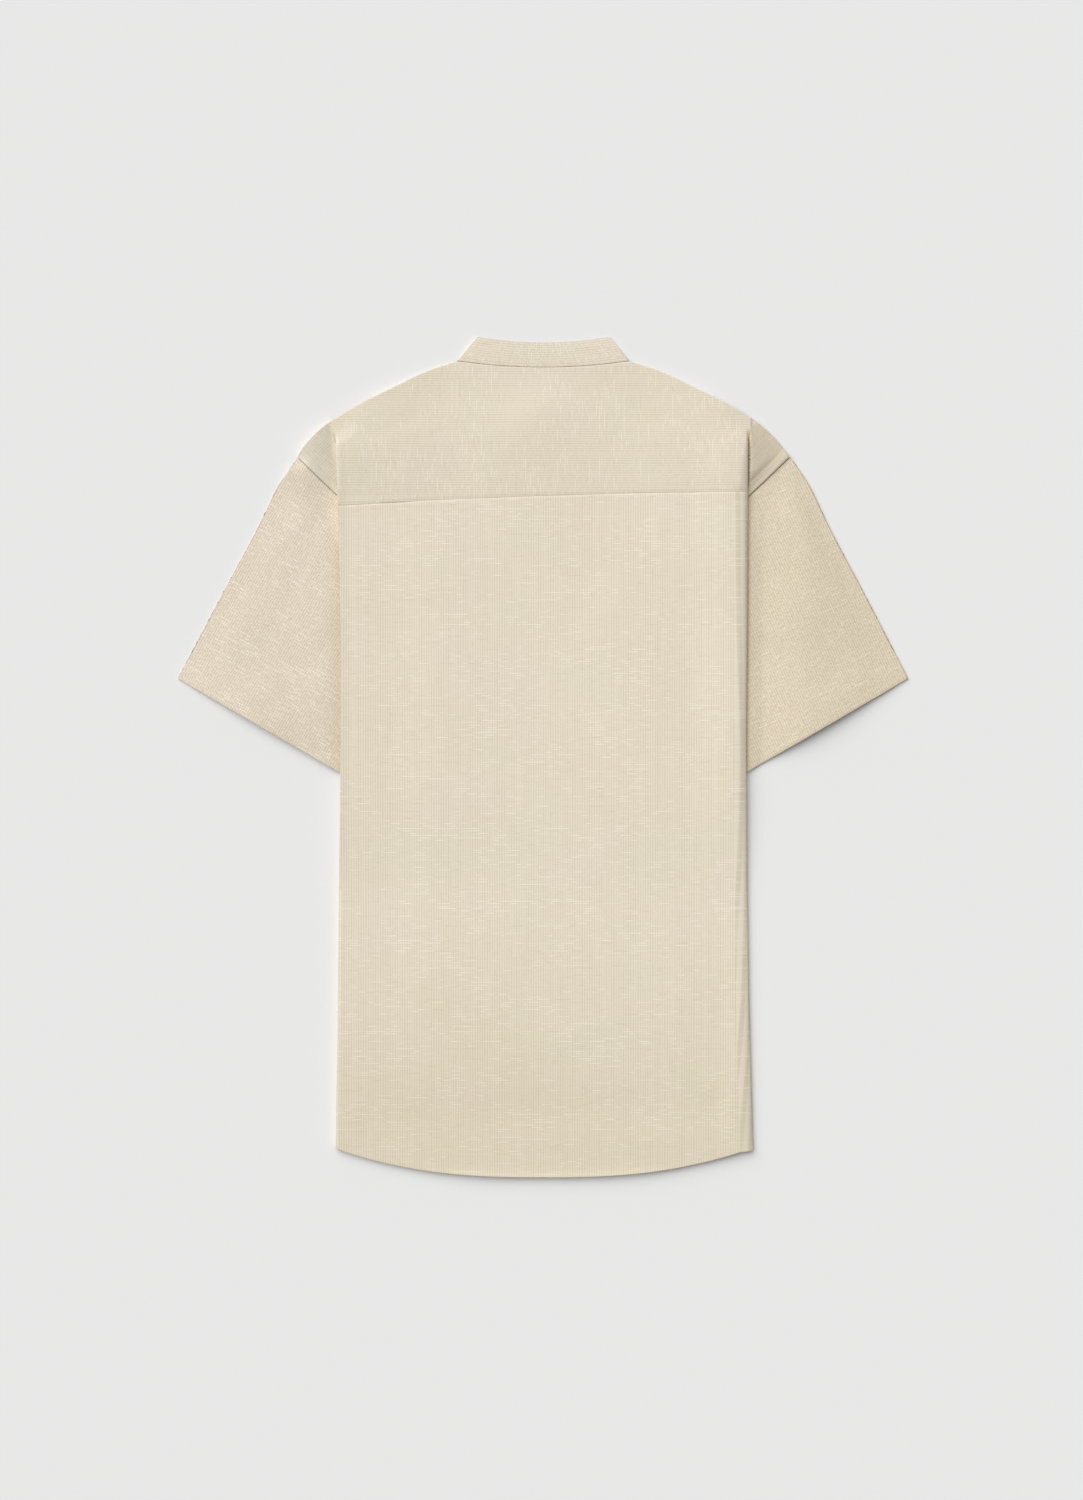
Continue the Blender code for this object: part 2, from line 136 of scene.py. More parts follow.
# Sleeves
SLEEVE_UNDER_BODY_END = -30
SLEEVE_LIFT_RUN = 110
SLEEVE_LIFT = 3.1
SLEEVE_TURN_RADIUS = LAYER_STEP / 2
CUFF_LIFT = 3.6
CUFF_LIFT_SHARE = 0.85
CUFF_BAND_RISE = 0.12
CUFF_BAND_RUN = 1.2
SLEEVE_INSET = (SLEEVE_TURN_RADIUS + WALL / 2) / 200
SLEEVE_END_FADE = 8
SLEEVE_LOWEST = -0.3
# Which way each of a sleeve's long folds looks
OVERARM_WAY = (0.88, 0.48)
INNER_FOLD_WAY = (-0.87, -0.49)
CUFF_OUTER = (343.1, 73.8)
CUFF_INNER = (170.3, -26.7)
CUFF_HEM_DEPTH = 19
SLEEVE_RUN = 236
CUFF_HEM_RUN = SLEEVE_RUN - CUFF_HEM_DEPTH
SLEEVE_FULLNESS_START = 6
TIP_SEAM_FADE = 5
UNDERARM = (104, 87)
ARMHOLE_PULL_TIP = (-75, -76)
ARMHOLE_PULL_UNDERARM = (8, 103)
SHOULDER_BULGE = 2.6
SHOULDER_BULGE_WAY = (0.6, 0.8)
FELLED_SEAM_WIDTH = 7.5
FELLED_SEAM_RISE = 0.5
FELLED_SEAM_WEDGE = 1.8
FELLED_EDGE_RUN = 1.6
SEAM_GROOVE = 0.9
SEAM_GROOVE_RUN = 1.3

# Closure
BUTTON_STAND = 12
STAND_COLUMNS = (-BUTTON_STAND, -8, -4)
BUTTON_THICKNESS = 2
BUTTON_HOLE_SPREAD = 1.35
BUTTON_HOLE_RADIUS = 0.65
FIRST_BUTTON_Y = 227
BUTTON_SPACING = 85
BUTTON_COUNT = 6
COLLAR_BUTTON_Y = 308.8
PLACKET_RUN = 32
SEAM_GAP = 0.3
LEFT_PLACKET_FLAT = 2
RIGHT_PLACKET_FLAT = 4
LEFT_PLACKET_LEVEL = BUTTON_THICKNESS + SEAM_GAP + SOLID_WALL / 2
RIGHT_PLACKET_LEVEL = LEFT_PLACKET_LEVEL + SOLID_WALL + SEAM_GAP

# Thread
STITCH_LENGTH = 2
STITCH_PITCH = 2.7
THREAD_RADIUS = 0.19
THREAD_FLATNESS = 0.7
SHORTEST_STITCH = 0.2
STITCH_CLIMB = 0.6
EDGE_STITCH_DEPTH = 1.6
HEM_STITCH_DEPTH = 7.5
ARMHOLE_STITCH_DEPTH = 1.1
HEAD_STITCH_DEPTH = 1.9

# Cloth pattern
STRIPE_PERIOD = 2.28
LIGHT_STRIPE = (0.805, 0.730, 0.605)
DARK_STRIPE = (0.700, 0.620, 0.490)
SLUB_YARN = (0.890, 0.825, 0.705)
SHADED_YARN = (0.640, 0.560, 0.425)
WHITE = (1, 1, 1)
WARM_TINT = (1.004, 0.997, 0.992)
GREEN_TINT = (0.994, 1.003, 0.980)
# Painted shade: how dark the soft clouds of shade make the cloth
PAINTED_SHADE_CLOUD_TINT = (0.985, 0.98, 0.965)
THREAD_COLOUR = (0.800, 0.735, 0.610)
BUTTON_COLOURS = ((0.72, 0.66, 0.55), (0.83, 0.79, 0.70))
YARN_PITCH = 0.38
SLUB_PITCH = 2.3
LEFT_SLEEVE_TONE = (1.04, 1.024, 1.042)
# Painted shade: the right sleeve is coloured darker and yellower than the left
RIGHT_SLEEVE_PAINTED_SHADE = (0.99, 0.966, 0.935)
COLLAR_TONE = (1.05, 1.06, 1.075)
PALE_MOTTLE = (1.045, 1.045, 1.05)
DARK_MOTTLE = (0.875, 0.865, 0.835)
# Painted shade on the shoulder's ledges past the left and right fold, and how far from the middle it
# starts and is full
LEDGE_PAINTED_SHADES = ((0.968, 0.982, 0.998), (0.855, 0.84, 0.8))
LEDGE_SHADE_START = 193.5
LEDGE_SHADE_END = 198
YOKE_TONE = (0.975, 0.975, 0.975)
# Painted shade: the back is coloured darker towards its hem, from where it starts to where it is full
LOW_PAINTED_SHADE = (0.93, 0.925, 0.895)
LOW_SHADE_START = -120
LOW_SHADE_END = -400

# How finely the cloth is divided
COLUMN_STEP = 3.6
ROW_STEP = 5
FRONT_ROW_STEP = 7
FINE_ROW_STEP = 1.5
FINE_HEM_RUN = 15
FINE_SEAM_RUN = 14
YOKE_PARTS = ((5, 0.55), (118, 3.5), (121, 0.75))
FRONT_YOKE_ROW_SHARE = 0.07
SLEEVE_PARTS = ((1.6, 0.4), (CUFF_HEM_RUN - 1.2, 3), (CUFF_HEM_RUN + 1.2, 0.6), (SLEEVE_RUN, 3))
SLEEVE_UPPER_SHARE = 0.008
SLEEVE_UNDER_SHARE = 0.02
COLLAR_BACK_SHARE = 0.05
COLLAR_FRONT_TURN = 0.06
COLLAR_ROW_SHARE = 0.09
MERGE_DISTANCE = 0.005
LEVEL_MARGIN = 0.2
NECK_MARGIN = 0.1
SHARP_CLOTH = radians(50)
SHARP_BUTTON = radians(35)
TURN_STEPS = 12
LAP_STEPS = 14
LEDGE_STEPS = 34
SHOULDER_TURN_STEPS = 8
ARMHOLE_STEPS = 40

# Each side, and how its fold lies: pressed on the left, and as a full, high roll on the right
Side = namedtuple(
    "Side",
    "name sign apex_y tip pattern_turn sleeve_pattern"
    " ledge_drop ledge_edge seam_run seam_lift rounding roll roll_width",
)
LEFT = Side(
    name="left", sign=-1, apex_y=305, tip=(230.3, 281.5),
    pattern_turn=radians(47.5), sleeve_pattern=radians(61),
    ledge_drop=2, ledge_edge=1.1, seam_run=10, seam_lift=3.6,
    rounding=0.3, roll=0.8, roll_width=7,
)
RIGHT = Side(
    name="right", sign=1, apex_y=307.5, tip=(232, 282.2),
    pattern_turn=radians(39.4), sleeve_pattern=radians(66.4),
    ledge_drop=1.2, ledge_edge=0.35, seam_run=13, seam_lift=0.3,
    rounding=12, roll=3, roll_width=46,
)
SIDES = (LEFT, RIGHT)
ROLL_GROWTH_RUN = 60
# The part of the half body where the columns of knots draw in to the fold
COLUMN_EASE = (150, 185)

# The ledge: how it turns away from the body on the flat yoke, where it begins to rise and fall,
# and what it loses of its height towards the armhole's lower end
LEDGE_TURN_WIDTH = 24
LEDGE_RISE_START = 0.6
LEDGE_LOW_DROP = 0.4
LEDGE_GROWTH_RUN = 26
LEDGE_LOW_LOSS = 0.3
LEDGE_LOSS_RUN = 60

# Away from its fold the yoke rises to the fold's height over a longer way
STAND_EASE_RUN = 18
STAND_EASE_END = 230
STAND_EASE_STEPS = (-20, -12, -4, 4, 12, 20)
LOW_ROLL_SHARE = 0.4

Layer = namedtuple("Layer", "level inset")
BACK_LAYER = Layer(UPPER_LEVEL, 0)
FRONT_LAYER = Layer(FLOOR_LEVEL, LAYER_STEP)

FOLD_OUTLINE = table(
    "y left right",
    (-368, 194.6, 197.4), (-230, 192.8, 193.6), (-135, 191.8, 192.2),
    (0, 189.9, 190.8), (130, 189.9, 191.8), (240, 192.7, 192.2),
    (316, 195.5, 192.7),
)

SHOULDER_OUTLINE = table(
    "x y",
    (80.8, 371.8), (111, 361.5), (142, 346.4), (170, 332.4), (196, 316.2),
    (215, 301.5), (230, 286),
)

OVERARM_BULGE = table(
    "along out",
    (0, 0), (0.06, 1.9), (0.15, 3.5), (0.33, 1.5), (0.6, 1.2), (1, 0),
)

# How the shoulder's ledge stands up beyond the fold, by the distance from the fold
LEDGE_RISE = table(
    "out left right",
    (0, 0, 0), (1.3, 0.4, 6.4), (4, 1.3, 6.2), (8, 2.6, 5.5),
    (15, 4, 4.1), (22, 4.6, 2.7), (30, 4.8, 1.4), (38, 4.8, 0.5),
    (60, 4.8, 0),
)
# How far down the armhole its seam stands up on the ledge: from the shoulder, most, and none again
SEAM_LIFT_START = 14
SEAM_LIFT_END = 52

# How full the sleeve's upper side is beside the body's fold, by the distance from it
SLEEVE_RISE = table(
    "out left right",
    (-60, 0, 0), (-5, 0, -0.2), (0, 0.3, 0.1), (1.5, 1.1, 0.8),
    (4, 2.1, 1.1), (8, 2.9, 0.7), (15, 3.2, -0.1), (24, 2.7, 0.5),
    (40, 1.9, 2.2), (56, 1.5, 3.3), (80, 1.2, 2.7), (120, 1, 1.2),
    (200, 0.6, 0.3),
)


def creases(*rows):
    """Soft creases: where each one's middle is, the way it runs (degrees from +X), half its length,
    half its width and how high it stands, or how deep it lies."""
    return table("x y run length width height", *rows)


BACK_CREASES = creases(
    (-139, 10, 90, 320, 21, -0.8),
    (-98, 60, 88, 230, 20, 0.35),
    (181, -240, 88, 150, 22, -0.8),
    (124, -230, 92, 130, 22, 0.6),
    (66, -190, -62, 120, 13, 0.4),
    (-10, -120, 80, 140, 26, 0.35),
    (40, 90, 97, 130, 24, -0.35),
    (139, 236, 92, 16, 5, -0.6),
    (-40, -338, 3, 170, 22, -0.8),
    (118, -336, -4, 70, 19, -0.6),
    (70, 150, 62, 70, 12, 0.25),
    (-95, 205, 120, 60, 11, 0.25),
    (20, -265, 24, 60, 12, 0.3),
)
YOKE_CREASES = creases(
    (-70, 300, 20, 70, 12, 0.3),
    (95, 305, -25, 60, 12, 0.3),
    (20, 330, 4, 60, 9, 0.2),
    (150, 285, -60, 40, 10, -0.3),
    (-126, 272, 92, 22, 10, 0.3),
)
BOTH_SLEEVES_CREASES = creases(
    (250, 160, -62, 80, 11, 0.55),
    (215, 90, -50, 60, 10, -0.3),
    (290, 110, -66, 60, 10, 0.4),
    (232, 215, -48, 34, 7, 0.45),
    (212, 190, -70, 30, 7, 0.4),
    (262, 60, -20, 40, 12, 0.3),
    (326, 81, 24, 9, 2.2, -0.3),
    (236, 128, 42, 34, 30, 1.6),
    (268, 76, 40, 30, 12, -0.6),
)
SLEEVE_CREASES = {
    "left": BOTH_SLEEVES_CREASES + creases(
        (199, 228, 84, 28, 20, -2.9),
        (209, 70, 88, 66, 24, 1.3),
    ),
    "right": BOTH_SLEEVES_CREASES + creases(
        (246, 216, -52, 60, 9, 0.7),
        (296, 118, -58, 70, 16, -0.6),
    ),
}


def smooth(share):
    share = min(max(share, 0), 1)
    return share * share * (3 - 2 * share)


def rise(value, start, end):
    """0 at the start, 1 at the end and a soft slope between them."""
    return smooth((value - start) / (end - start))


def between(start, end, share):
    return start + (end - start) * share


def soft_max(first, second):
    """The larger of two heights, without a crease where they are the same."""
    return (first + second + hypot(first - second, SOFT_MAX_WIDTH)) / 2


def steps(start, end, step):
    """Evenly spaced values from start to end, about a step apart."""
    count = max(1, round(abs(end - start) / step))
    return [between(start, end, index / count) for index in range(count + 1)]


def divided(start, *parts):
    """Values from the start on, in parts that each have an end and a step of their own."""
    values = [start]
    for end, step in parts:
        values += steps(values[-1], end, step)[1:]
    return values


def read_smooth(rows, value, column):
    """The column's value on a smooth curve through the table's rows."""
    for index in range(len(rows) - 1):
        if value <= rows[index + 1][0]:
            break
    low, high = rows[index], rows[index + 1]
    before = rows[max(index - 1, 0)]
    after = rows[min(index + 2, len(rows) - 1)]
    run = high[0] - low[0]
    share = (value - low[0]) / run
    start, end = getattr(low, column), getattr(high, column)
    start_slope = (end - getattr(before, column)) / (high[0] - before[0]) * run
    end_slope = (getattr(after, column) - start) / (after[0] - low[0]) * run
    square, cube = share**2, share**3
    return (
        (2 * cube - 3 * square + 1) * start
        + (cube - 2 * square + share) * start_slope
        + (3 * square - 2 * cube) * end
        + (cube - square) * end_slope
    )


def creases_at(rows, x, y):
    """How far the soft creases lift the cloth at one place."""
    height = 0
    for crease in rows:
        run = radians(crease.run)
        dx, dy = x - crease.x, y - crease.y
        along = (dx * cos(run) + dy * sin(run)) / crease.length
        across = (dy * cos(run) - dx * sin(run)) / crease.width
        height += crease.height * exp(-(along**2) - across**2)
    return height


def inside_creases(x):
    """1 in the body's middle, and 0 beside its side folds, where the soft creases end."""
    return smooth((SIDE_CREASE_END - abs(x)) / SIDE_CREASE_FADE)


def beside_sleeve(y):
    """1 where a sleeve lies under the body's side, and 0 well below it."""
    return rise(y, SLEEVE_UNDER_BODY_END - SLEEVE_LIFT_RUN, SLEEVE_UNDER_BODY_END)


def hem_y(x):
    return HEM_MIDDLE_Y + HEM_RISE * (abs(x) / HEM_HALF_WIDTH) ** HEM_POWER


def yoke_seam_y(x):
    tilt = YOKE_SEAM_TILT * max(-HEM_HALF_WIDTH, min(HEM_HALF_WIDTH, x))
    return YOKE_SEAM_Y + tilt - YOKE_SEAM_SAG * min(1, (x / HEM_HALF_WIDTH) ** 2)


def yoke_top_y(x):
    """The back neck seam in the middle, and the shoulder's fold on either side of it."""
    if abs(x) < NECK_HALF_WIDTH:
        return NECK_BACK_Y + (NECK_SIDE_Y - NECK_BACK_Y) * (x / NECK_HALF_WIDTH) ** 2 - SEAM_GAP
    return read_smooth(SHOULDER_OUTLINE, abs(x), "y") - LAYER_STEP / 2 - WALL / 2


def front_top_y(x):
    """The neckline in the middle, and the seam to the yoke beside it."""
    seam = yoke_top_y(max(abs(x), NECK_HALF_WIDTH)) - FRONT_YOKE_DEPTH - SEAM_GAP
    across = min(abs(x) / NECK_HALF_WIDTH, 1)
    neckline = NECK_SIDE_Y - NECK_FRONT_DROP * sqrt(1 - across**2) - SEAM_GAP
    return min(seam, neckline)


def fold_x(side, y):
    return read_smooth(FOLD_OUTLINE, y, side.name)


def turn_start_x(side, y):
    """Where the cloth begins to turn, so that its outer face ends on the fold's outline."""
    return fold_x(side, y) - FOLD_RADIUS - WALL / 2


def lap_width(side, y):
    """How far the side is turned under: to the second fold, then to the armhole or the side seam."""
    to_second_fold = tan(LAP_ANGLE) * max(side.apex_y - y, 0)
    down_armhole = rise(y, ARMHOLE_TURN_Y, UNDERARM_Y)
    return min(to_second_fold, between(ARMHOLE_TOP_LAP, SIDE_SEAM_LAP, down_armhole))


Fold = namedtuple("Fold", "turn radius lap_radius lap height")


def fold_at(side, y):
    """The double fold at one height: flat at the apex, and fully turned a little below it."""
    below = side.apex_y - y
    turn = max(pi * smooth(below / FOLD_OPENING_RUN), LEAST_TURN)
    share = turn / pi
    radius = between(LEAST_FOLD_ARC, pi * FOLD_RADIUS, share**2) / turn
    lap_radius = between(LEAST_LAP_ARC, pi * LAP_RADIUS, share) / turn
    lap = between(LEAST_LAP, lap_width(side, y), smooth((below - LAP_START) / LAP_GROWTH_RUN))
    height = (radius + lap_radius) * (1 - cos(turn)) + lap * sin(turn)
    return Fold(turn, radius, lap_radius, lap, height - SLEEVE_LIFT * (1 - beside_sleeve(y)))


def fold_row_y(side, x, y):
    """Where the fold has the height that a point of the body has: level with it below the yoke
    seam, and at the same share of the way to the shoulder above it."""
    x = min(abs(x), HEM_HALF_WIDTH)
    seam = yoke_seam_y(side.sign * x)
    fold_seam = yoke_seam_y(side.sign * HEM_HALF_WIDTH)
    share = (y - seam) / (yoke_top_y(x) - seam)
    if share < 0:
        return y + fold_seam - seam
    return between(fold_seam, yoke_top_y(HEM_HALF_WIDTH), share)


def fold_stand(side, y):
    """How far the body is held up beside its fold, or beside the shoulder's end above the fold."""
    below_shoulder = yoke_top_y(HEM_HALF_WIDTH) - y
    stand = between(SHOULDER_STAND, FULL_STAND, smooth(below_shoulder / SHOULDER_STAND_RUN))
    height = fold_at(side, y).height
    if below_shoulder < 2 * SHOULDER_STAND_RUN:
        stands = 1 - smooth(below_shoulder / SHOULDER_STAND_RUN - 1)
        height = between(height, soft_max(height, stand), stands)
    return height


def body_level(side, layer, x, y, middle):
    """The height of a point of the body, from its level in the middle to that at the fold."""
    height_y = fold_row_y(side, x, y)
    lap_end = turn_start_x(side, height_y) - fold_at(side, height_y).lap - RAMP_CLEARANCE
    width = BACK_RAMP_WIDTH if layer is BACK_LAYER else RAMP_WIDTH
    held_up = smooth((x - lap_end + width) / width)
    height = fold_stand(side, height_y)
    away = smooth((lap_end - x) / STAND_EASE_RUN)
    if away > 0 and height_y > STAND_EASE_END:
        eased = sum(fold_stand(side, height_y + step) for step in STAND_EASE_STEPS)
        height = between(height, eased / len(STAND_EASE_STEPS), away)
    return between(middle, layer.level + height, held_up)


# A knot of the cloth's net: its place, and where it is on the flat cloth, across and along
# the stripes
Knot = namedtuple("Knot", "x y z across along")


def body_half_row(side, layer, y_of, middle_level, columns, lift, flat):
    """One row of knots from the middle to the end of the lap, and its fold."""
    end = turn_start_x(side, y_of(HEM_HALF_WIDTH))
    fold_y = y_of(end)
    fold = fold_at(side, fold_row_y(side, end, fold_y))
    grown = grown_share(side, layer, fold, fold_y)
    rounding = between(fold.radius - layer.inset, side.rounding, grown)
    roll = side.roll * grown * between(LOW_ROLL_SHARE, 1, beside_sleeve(fold_y))
    end += fold.radius - layer.inset - rounding
    knots = []
    for column in columns:
        x = between(column, column * end / columns[-1], rise(column, *COLUMN_EASE))
        y = y_of(x)
        z = body_level(side, layer, x, y, middle_level(x, y)) + lift(side.sign * x, y)
        z += roll * smooth((x - end) / side.roll_width + 1)
        knots.append(Knot(x, y, z, *flat(side.sign * x, y)))
    return knots + turned_knots(side, layer, fold, y_of, knots[-1], rounding, roll, flat), fold


def grown_share(side, layer, fold, y):
    """0 while the back's fold has turned less than half way, and 1 well below its apex."""
    if layer is FRONT_LAYER:
        return 0
    return smooth(2 * fold.turn / pi - 1) * smooth((side.apex_y - y) / ROLL_GROWTH_RUN)


def turned_knots(side, layer, fold, y_of, start, rounding, roll, flat):
    """The first turn and the lap under it."""
    radius = fold.radius - layer.inset
    places = []
    for angle in steps(0, fold.turn, fold.turn / TURN_STEPS)[1:]:
        out = rounding - radius * (1 - sin(angle))
        fall = roll + radius * (1 - cos(angle))
        if angle < pi / 2:
            out = rounding * sin(angle)
            fall = (radius + roll) * (1 - cos(angle))
        places.append((radius * angle, out, -fall))
    run, out, up = places[-1]
    for length in steps(0, fold.lap, fold.lap / LAP_STEPS)[1:]:
        ahead, down = length * cos(fold.turn), length * sin(fold.turn)
        places.append((run + length, out + ahead, up - down))
    knots = []
    for run, out, up in places:
        y = y_of(start.x + run)
        knots.append(Knot(start.x + out, y, start.z + up, *flat(side.sign * (start.x + run), y)))
    return knots


def armhole_curve(side):
    """The laid armhole seam from the shoulder's tip to the underarm, as a Bezier curve's points."""
    pull = [tip + by for tip, by in zip(side.tip, ARMHOLE_PULL_TIP)]
    low_pull = [end + by for end, by in zip(UNDERARM, ARMHOLE_PULL_UNDERARM)]
    points = []
    for t in steps(0, 1, 1 / ARMHOLE_STEPS):
        weights = ((1 - t) ** 3, 3 * t * (1 - t) ** 2, 3 * t**2 * (1 - t), t**3)
        corners = (side.tip, pull, low_pull, UNDERARM)
        points.append(tuple(sum(w * c[axis] for w, c in zip(weights, corners)) for axis in (0, 1)))
    return points


ARMHOLES = {side.name: armhole_curve(side) for side in SIDES}


def point_along(points, run):
    for start, end in zip(points, points[1:]):
        length = dist(start, end)
        if run <= length or end == points[-1]:
            return tuple(between(a, b, run / length) for a, b in zip(start, end))
        run -= length


def length_of(points):
    return sum(dist(start, end) for start, end in zip(points, points[1:]))


def distance_to(points, x, y):
    """How far a place is from a line through points."""
    away = []
    for (ax, ay), (bx, by) in zip(points, points[1:]):
        dx, dy = bx - ax, by - ay
        share = ((x - ax) * dx + (y - ay) * dy) / (dx * dx + dy * dy)
        share = min(max(share, 0), 1)
        away.append(hypot(x - ax - dx * share, y - ay - dy * share))
    return min(away)


def ledge_flat(side, x, y):
    """Where a place of the ledge is on the flat yoke: turned back about the fold's apex."""
    dx, dy = x - fold_x(side, side.apex_y), y - side.apex_y
    turn = side.pattern_turn * smooth((dx + 2 * max(-dy, 0)) / LEDGE_TURN_WIDTH + 0.5)
    flat_x = x - dx + dx * cos(turn) - dy * sin(turn)
    flat_y = y - dy + dx * sin(turn) + dy * cos(turn)
    return flat_y, side.sign * flat_x


def ledge_knots(side, layer, fold, row_y, edge_share, start):
    """The second turn and the ledge beyond it, out to the armhole seam."""
    radius = fold.lap_radius + layer.inset
    places = []
    for angle in steps(fold.turn, 0, fold.turn / TURN_STEPS)[1:]:
        x = start.x + radius * (sin(fold.turn) - sin(angle))
        places.append((x, start.y, start.z - radius * (cos(angle) - cos(fold.turn))))
    first = places[-1]
    below_shoulder = yoke_top_y(fold_x(side, row_y)) - row_y
    end = point_along(ARMHOLES[side.name], max(below_shoulder, 0))
    for share in steps(0, 1, 1 / LEDGE_STEPS)[1:]:
        bulge = SHOULDER_BULGE * 4 * share * (1 - share) * edge_share**2
        x = between(first[0], end[0], share) + SHOULDER_BULGE_WAY[0] * bulge
        y = between(first[1], end[1], share) + SHOULDER_BULGE_WAY[1] * bulge
        out = max(x - fold_x(side, y) - LEDGE_RISE_START, 0)
        level = layer.level
        if layer is BACK_LAYER:
            level += ledge_rise(side, x, y, out, below_shoulder)
        dropped = max(out, (1 - edge_share) * LEDGE_LOW_DROP * (x - first[0])) / side.ledge_drop
        places.append((x, y, between(first[2], level, smooth(dropped))))
    return [Knot(x, y, z, *ledge_flat(side, x, y)) for x, y, z in places]


def ledge_rise(side, x, y, out, below_shoulder):
    """The ledge's fullness, and the felled seam along the armhole."""
    away = distance_to(ARMHOLES[side.name], x, y)
    seam = seam_lift(side, dist(side.tip, (x, y)))
    growth = between(side.ledge_edge, 1, smooth(below_shoulder / LEDGE_GROWTH_RUN))
    growth -= LEDGE_LOW_LOSS * smooth(below_shoulder / LEDGE_LOSS_RUN)
    full = growth * read_smooth(LEDGE_RISE, min(out, LEDGE_RISE[-1].out), side.name)
    band = FELLED_SEAM_RISE * (1 - smooth((away - FELLED_SEAM_WIDTH) / FELLED_EDGE_RUN + 0.5))
    band += FELLED_SEAM_WEDGE * max(1 - away / FELLED_SEAM_WIDTH, 0)
    edge = -SEAM_GROOVE * (1 - smooth(away / SEAM_GROOVE_RUN))
    return between(seam, full, smooth((away - 1) / side.seam_run)) + band + edge


def seam_lift(side, run):
    """How far the armhole's seam stands up at this distance from the shoulder's tip."""
    grows = smooth(run / SEAM_LIFT_START)
    return side.seam_lift * grows * smooth((SEAM_LIFT_END - run) / (SEAM_LIFT_END - SEAM_LIFT_START))


def mirrored(knots, side):
    """A row of the right half, on the side where it belongs."""
    return [knot._replace(x=side.sign * knot.x) for knot in knots]


def whole_row(half_row, share, columns):
    """Both halves of a row as one, from the left end to the right end."""
    left, right = (half_row(side, share, columns) for side in SIDES)
    return [*reversed(left), *right[1:]]


def net_mesh(rows, closed=False):
    """One open sheet through rows of knots, with the flat cloth as its UV map in metres."""
    across = len(rows[0])
    mesh = bmesh.new()
    bmesh.ops.create_grid(mesh, x_segments=across - 1, y_segments=len(rows) - 1, size=1)
    mesh.verts.ensure_lookup_table()
    cloth_map = mesh.loops.layers.uv.new("cloth")
    flat = {}
    for row_index, row in enumerate(rows):
        for column, knot in enumerate(row):
            vert = mesh.verts[row_index * across + column]
            vert.co = Vector(knot[:3]) * MM
            flat[vert] = (knot.across * MM, knot.along * MM)
    for face in mesh.faces:
        for loop in face.loops:
            loop[cloth_map].uv = flat[loop.vert]
    if closed:
        bmesh.ops.remove_doubles(mesh, verts=mesh.verts, dist=MERGE_DISTANCE * MM)
    return mesh


def mesh_data(name, mesh):
    data = bpy.data.meshes.new(name)
    mesh.to_mesh(data)
    mesh.free()
    return data


def add_object(name, data):
    made = bpy.data.objects.new(name, data)
    bpy.context.scene.collection.objects.link(made)
    return made


def add_piece(name, mesh, finish):
    piece = add_object(name, mesh_data(name, mesh))
    piece.data.materials.append(finish)
    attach(piece, "root")
    return piece


def modified(piece):
    """The mesh that the piece's modifiers make."""
    graph = bpy.context.evaluated_depsgraph_get()
    return bpy.data.meshes.new_from_object(piece.evaluated_get(graph))


def add_cloth(node, mesh, finish, wall=WALL):
    """A piece of cloth with its wall, in place of the solid of its node."""
    piece = add_piece(f"{node}_cloth", mesh, finish)
    thickness = piece.modifiers.new("Wall", "SOLIDIFY")
    thickness.thickness = wall * MM
    thickness.offset = 0
    walled = modified(piece)
    piece.modifiers.clear()
    piece.data = walled
    walled.polygons.foreach_set("use_smooth", [True] * len(walled.polygons))
    walled.set_sharp_from_angle(angle=SHARP_CLOTH)
    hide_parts(node)
    return piece


def nothing(x, y):
    return 0


def body_flat(x, y):
    """On the body's pieces the stripes run from hem to collar."""
    return x, y


def yoke_flat(x, y):
    """On the yoke they run from shoulder to shoulder."""
    return y, x


def front_yoke_flat(x, y):
    """The part of the yoke in front of the shoulder carries on past its fold."""
    top = yoke_top_y(min(max(abs(x), NECK_HALF_WIDTH), HEM_HALF_WIDTH))
    return 2 * top - y + pi * LAYER_STEP / 2, x


def body_columns(*extra):
    columns = steps(0, HEM_HALF_WIDTH, COLUMN_STEP)
    return sorted({round(x, 3) for x in (*columns, *extra)})


def back_lift(x, y):
    """The back's soft creases, its curling hem and its step down under the edge of the yoke."""
    step = SEAM_STEP * smooth((y - yoke_seam_y(x)) / SEAM_STEP_RUN + 1)
    curl = HEM_CURL * smooth((HEM_CURL_HALF_WIDTH - abs(x - HEM_CURL_MIDDLE_X)) / HEM_CURL_FADE)
    curl *= exp(-max(y - hem_y(x), 0) / HEM_CURL_RUN)
    return creases_at(BACK_CREASES, x, y) * inside_creases(x) - step + curl


def turn_hem(rows, inner):
    """The rows with the hem before them: the cloth turned round its edge to its inner side."""
    edge, above = rows[0], rows[1]
    places = [Vector(knot[:3]) for knot in edge]
    inwards = []
    for index, place in enumerate(places):
        across = places[min(index + 1, len(places) - 1)] - places[max(index - 1, 0)]
        inwards.append(inner * across.cross(Vector(above[index][:3]) - place).normalized())
    ups = [(Vector(a[:3]) - place).normalized() for a, place in zip(above, places)]
    radius = HEM_TURN_RADIUS
    bends = steps(0, pi, pi / HEM_TURN_STEPS)[1:]
    moves = [(-radius * sin(bend), radius * (1 - cos(bend))) for bend in bends]
    moves += [(HEM_TURN_DEPTH * share, 2 * radius) for share in HEM_TURN_SHARES]
    turned = []
    for up, over in reversed(moves):
        row = []
        for column, (knot, rising, inward) in enumerate(zip(edge, ups, inwards)):
            place = up_the_cloth(rows, column, up) if up > 0 else places[column] + up * rising
            row.append(Knot(*(place + inward * over), knot.across, knot.along - abs(up) - over))
        turned.append(row)
    return [*turned, *rows]


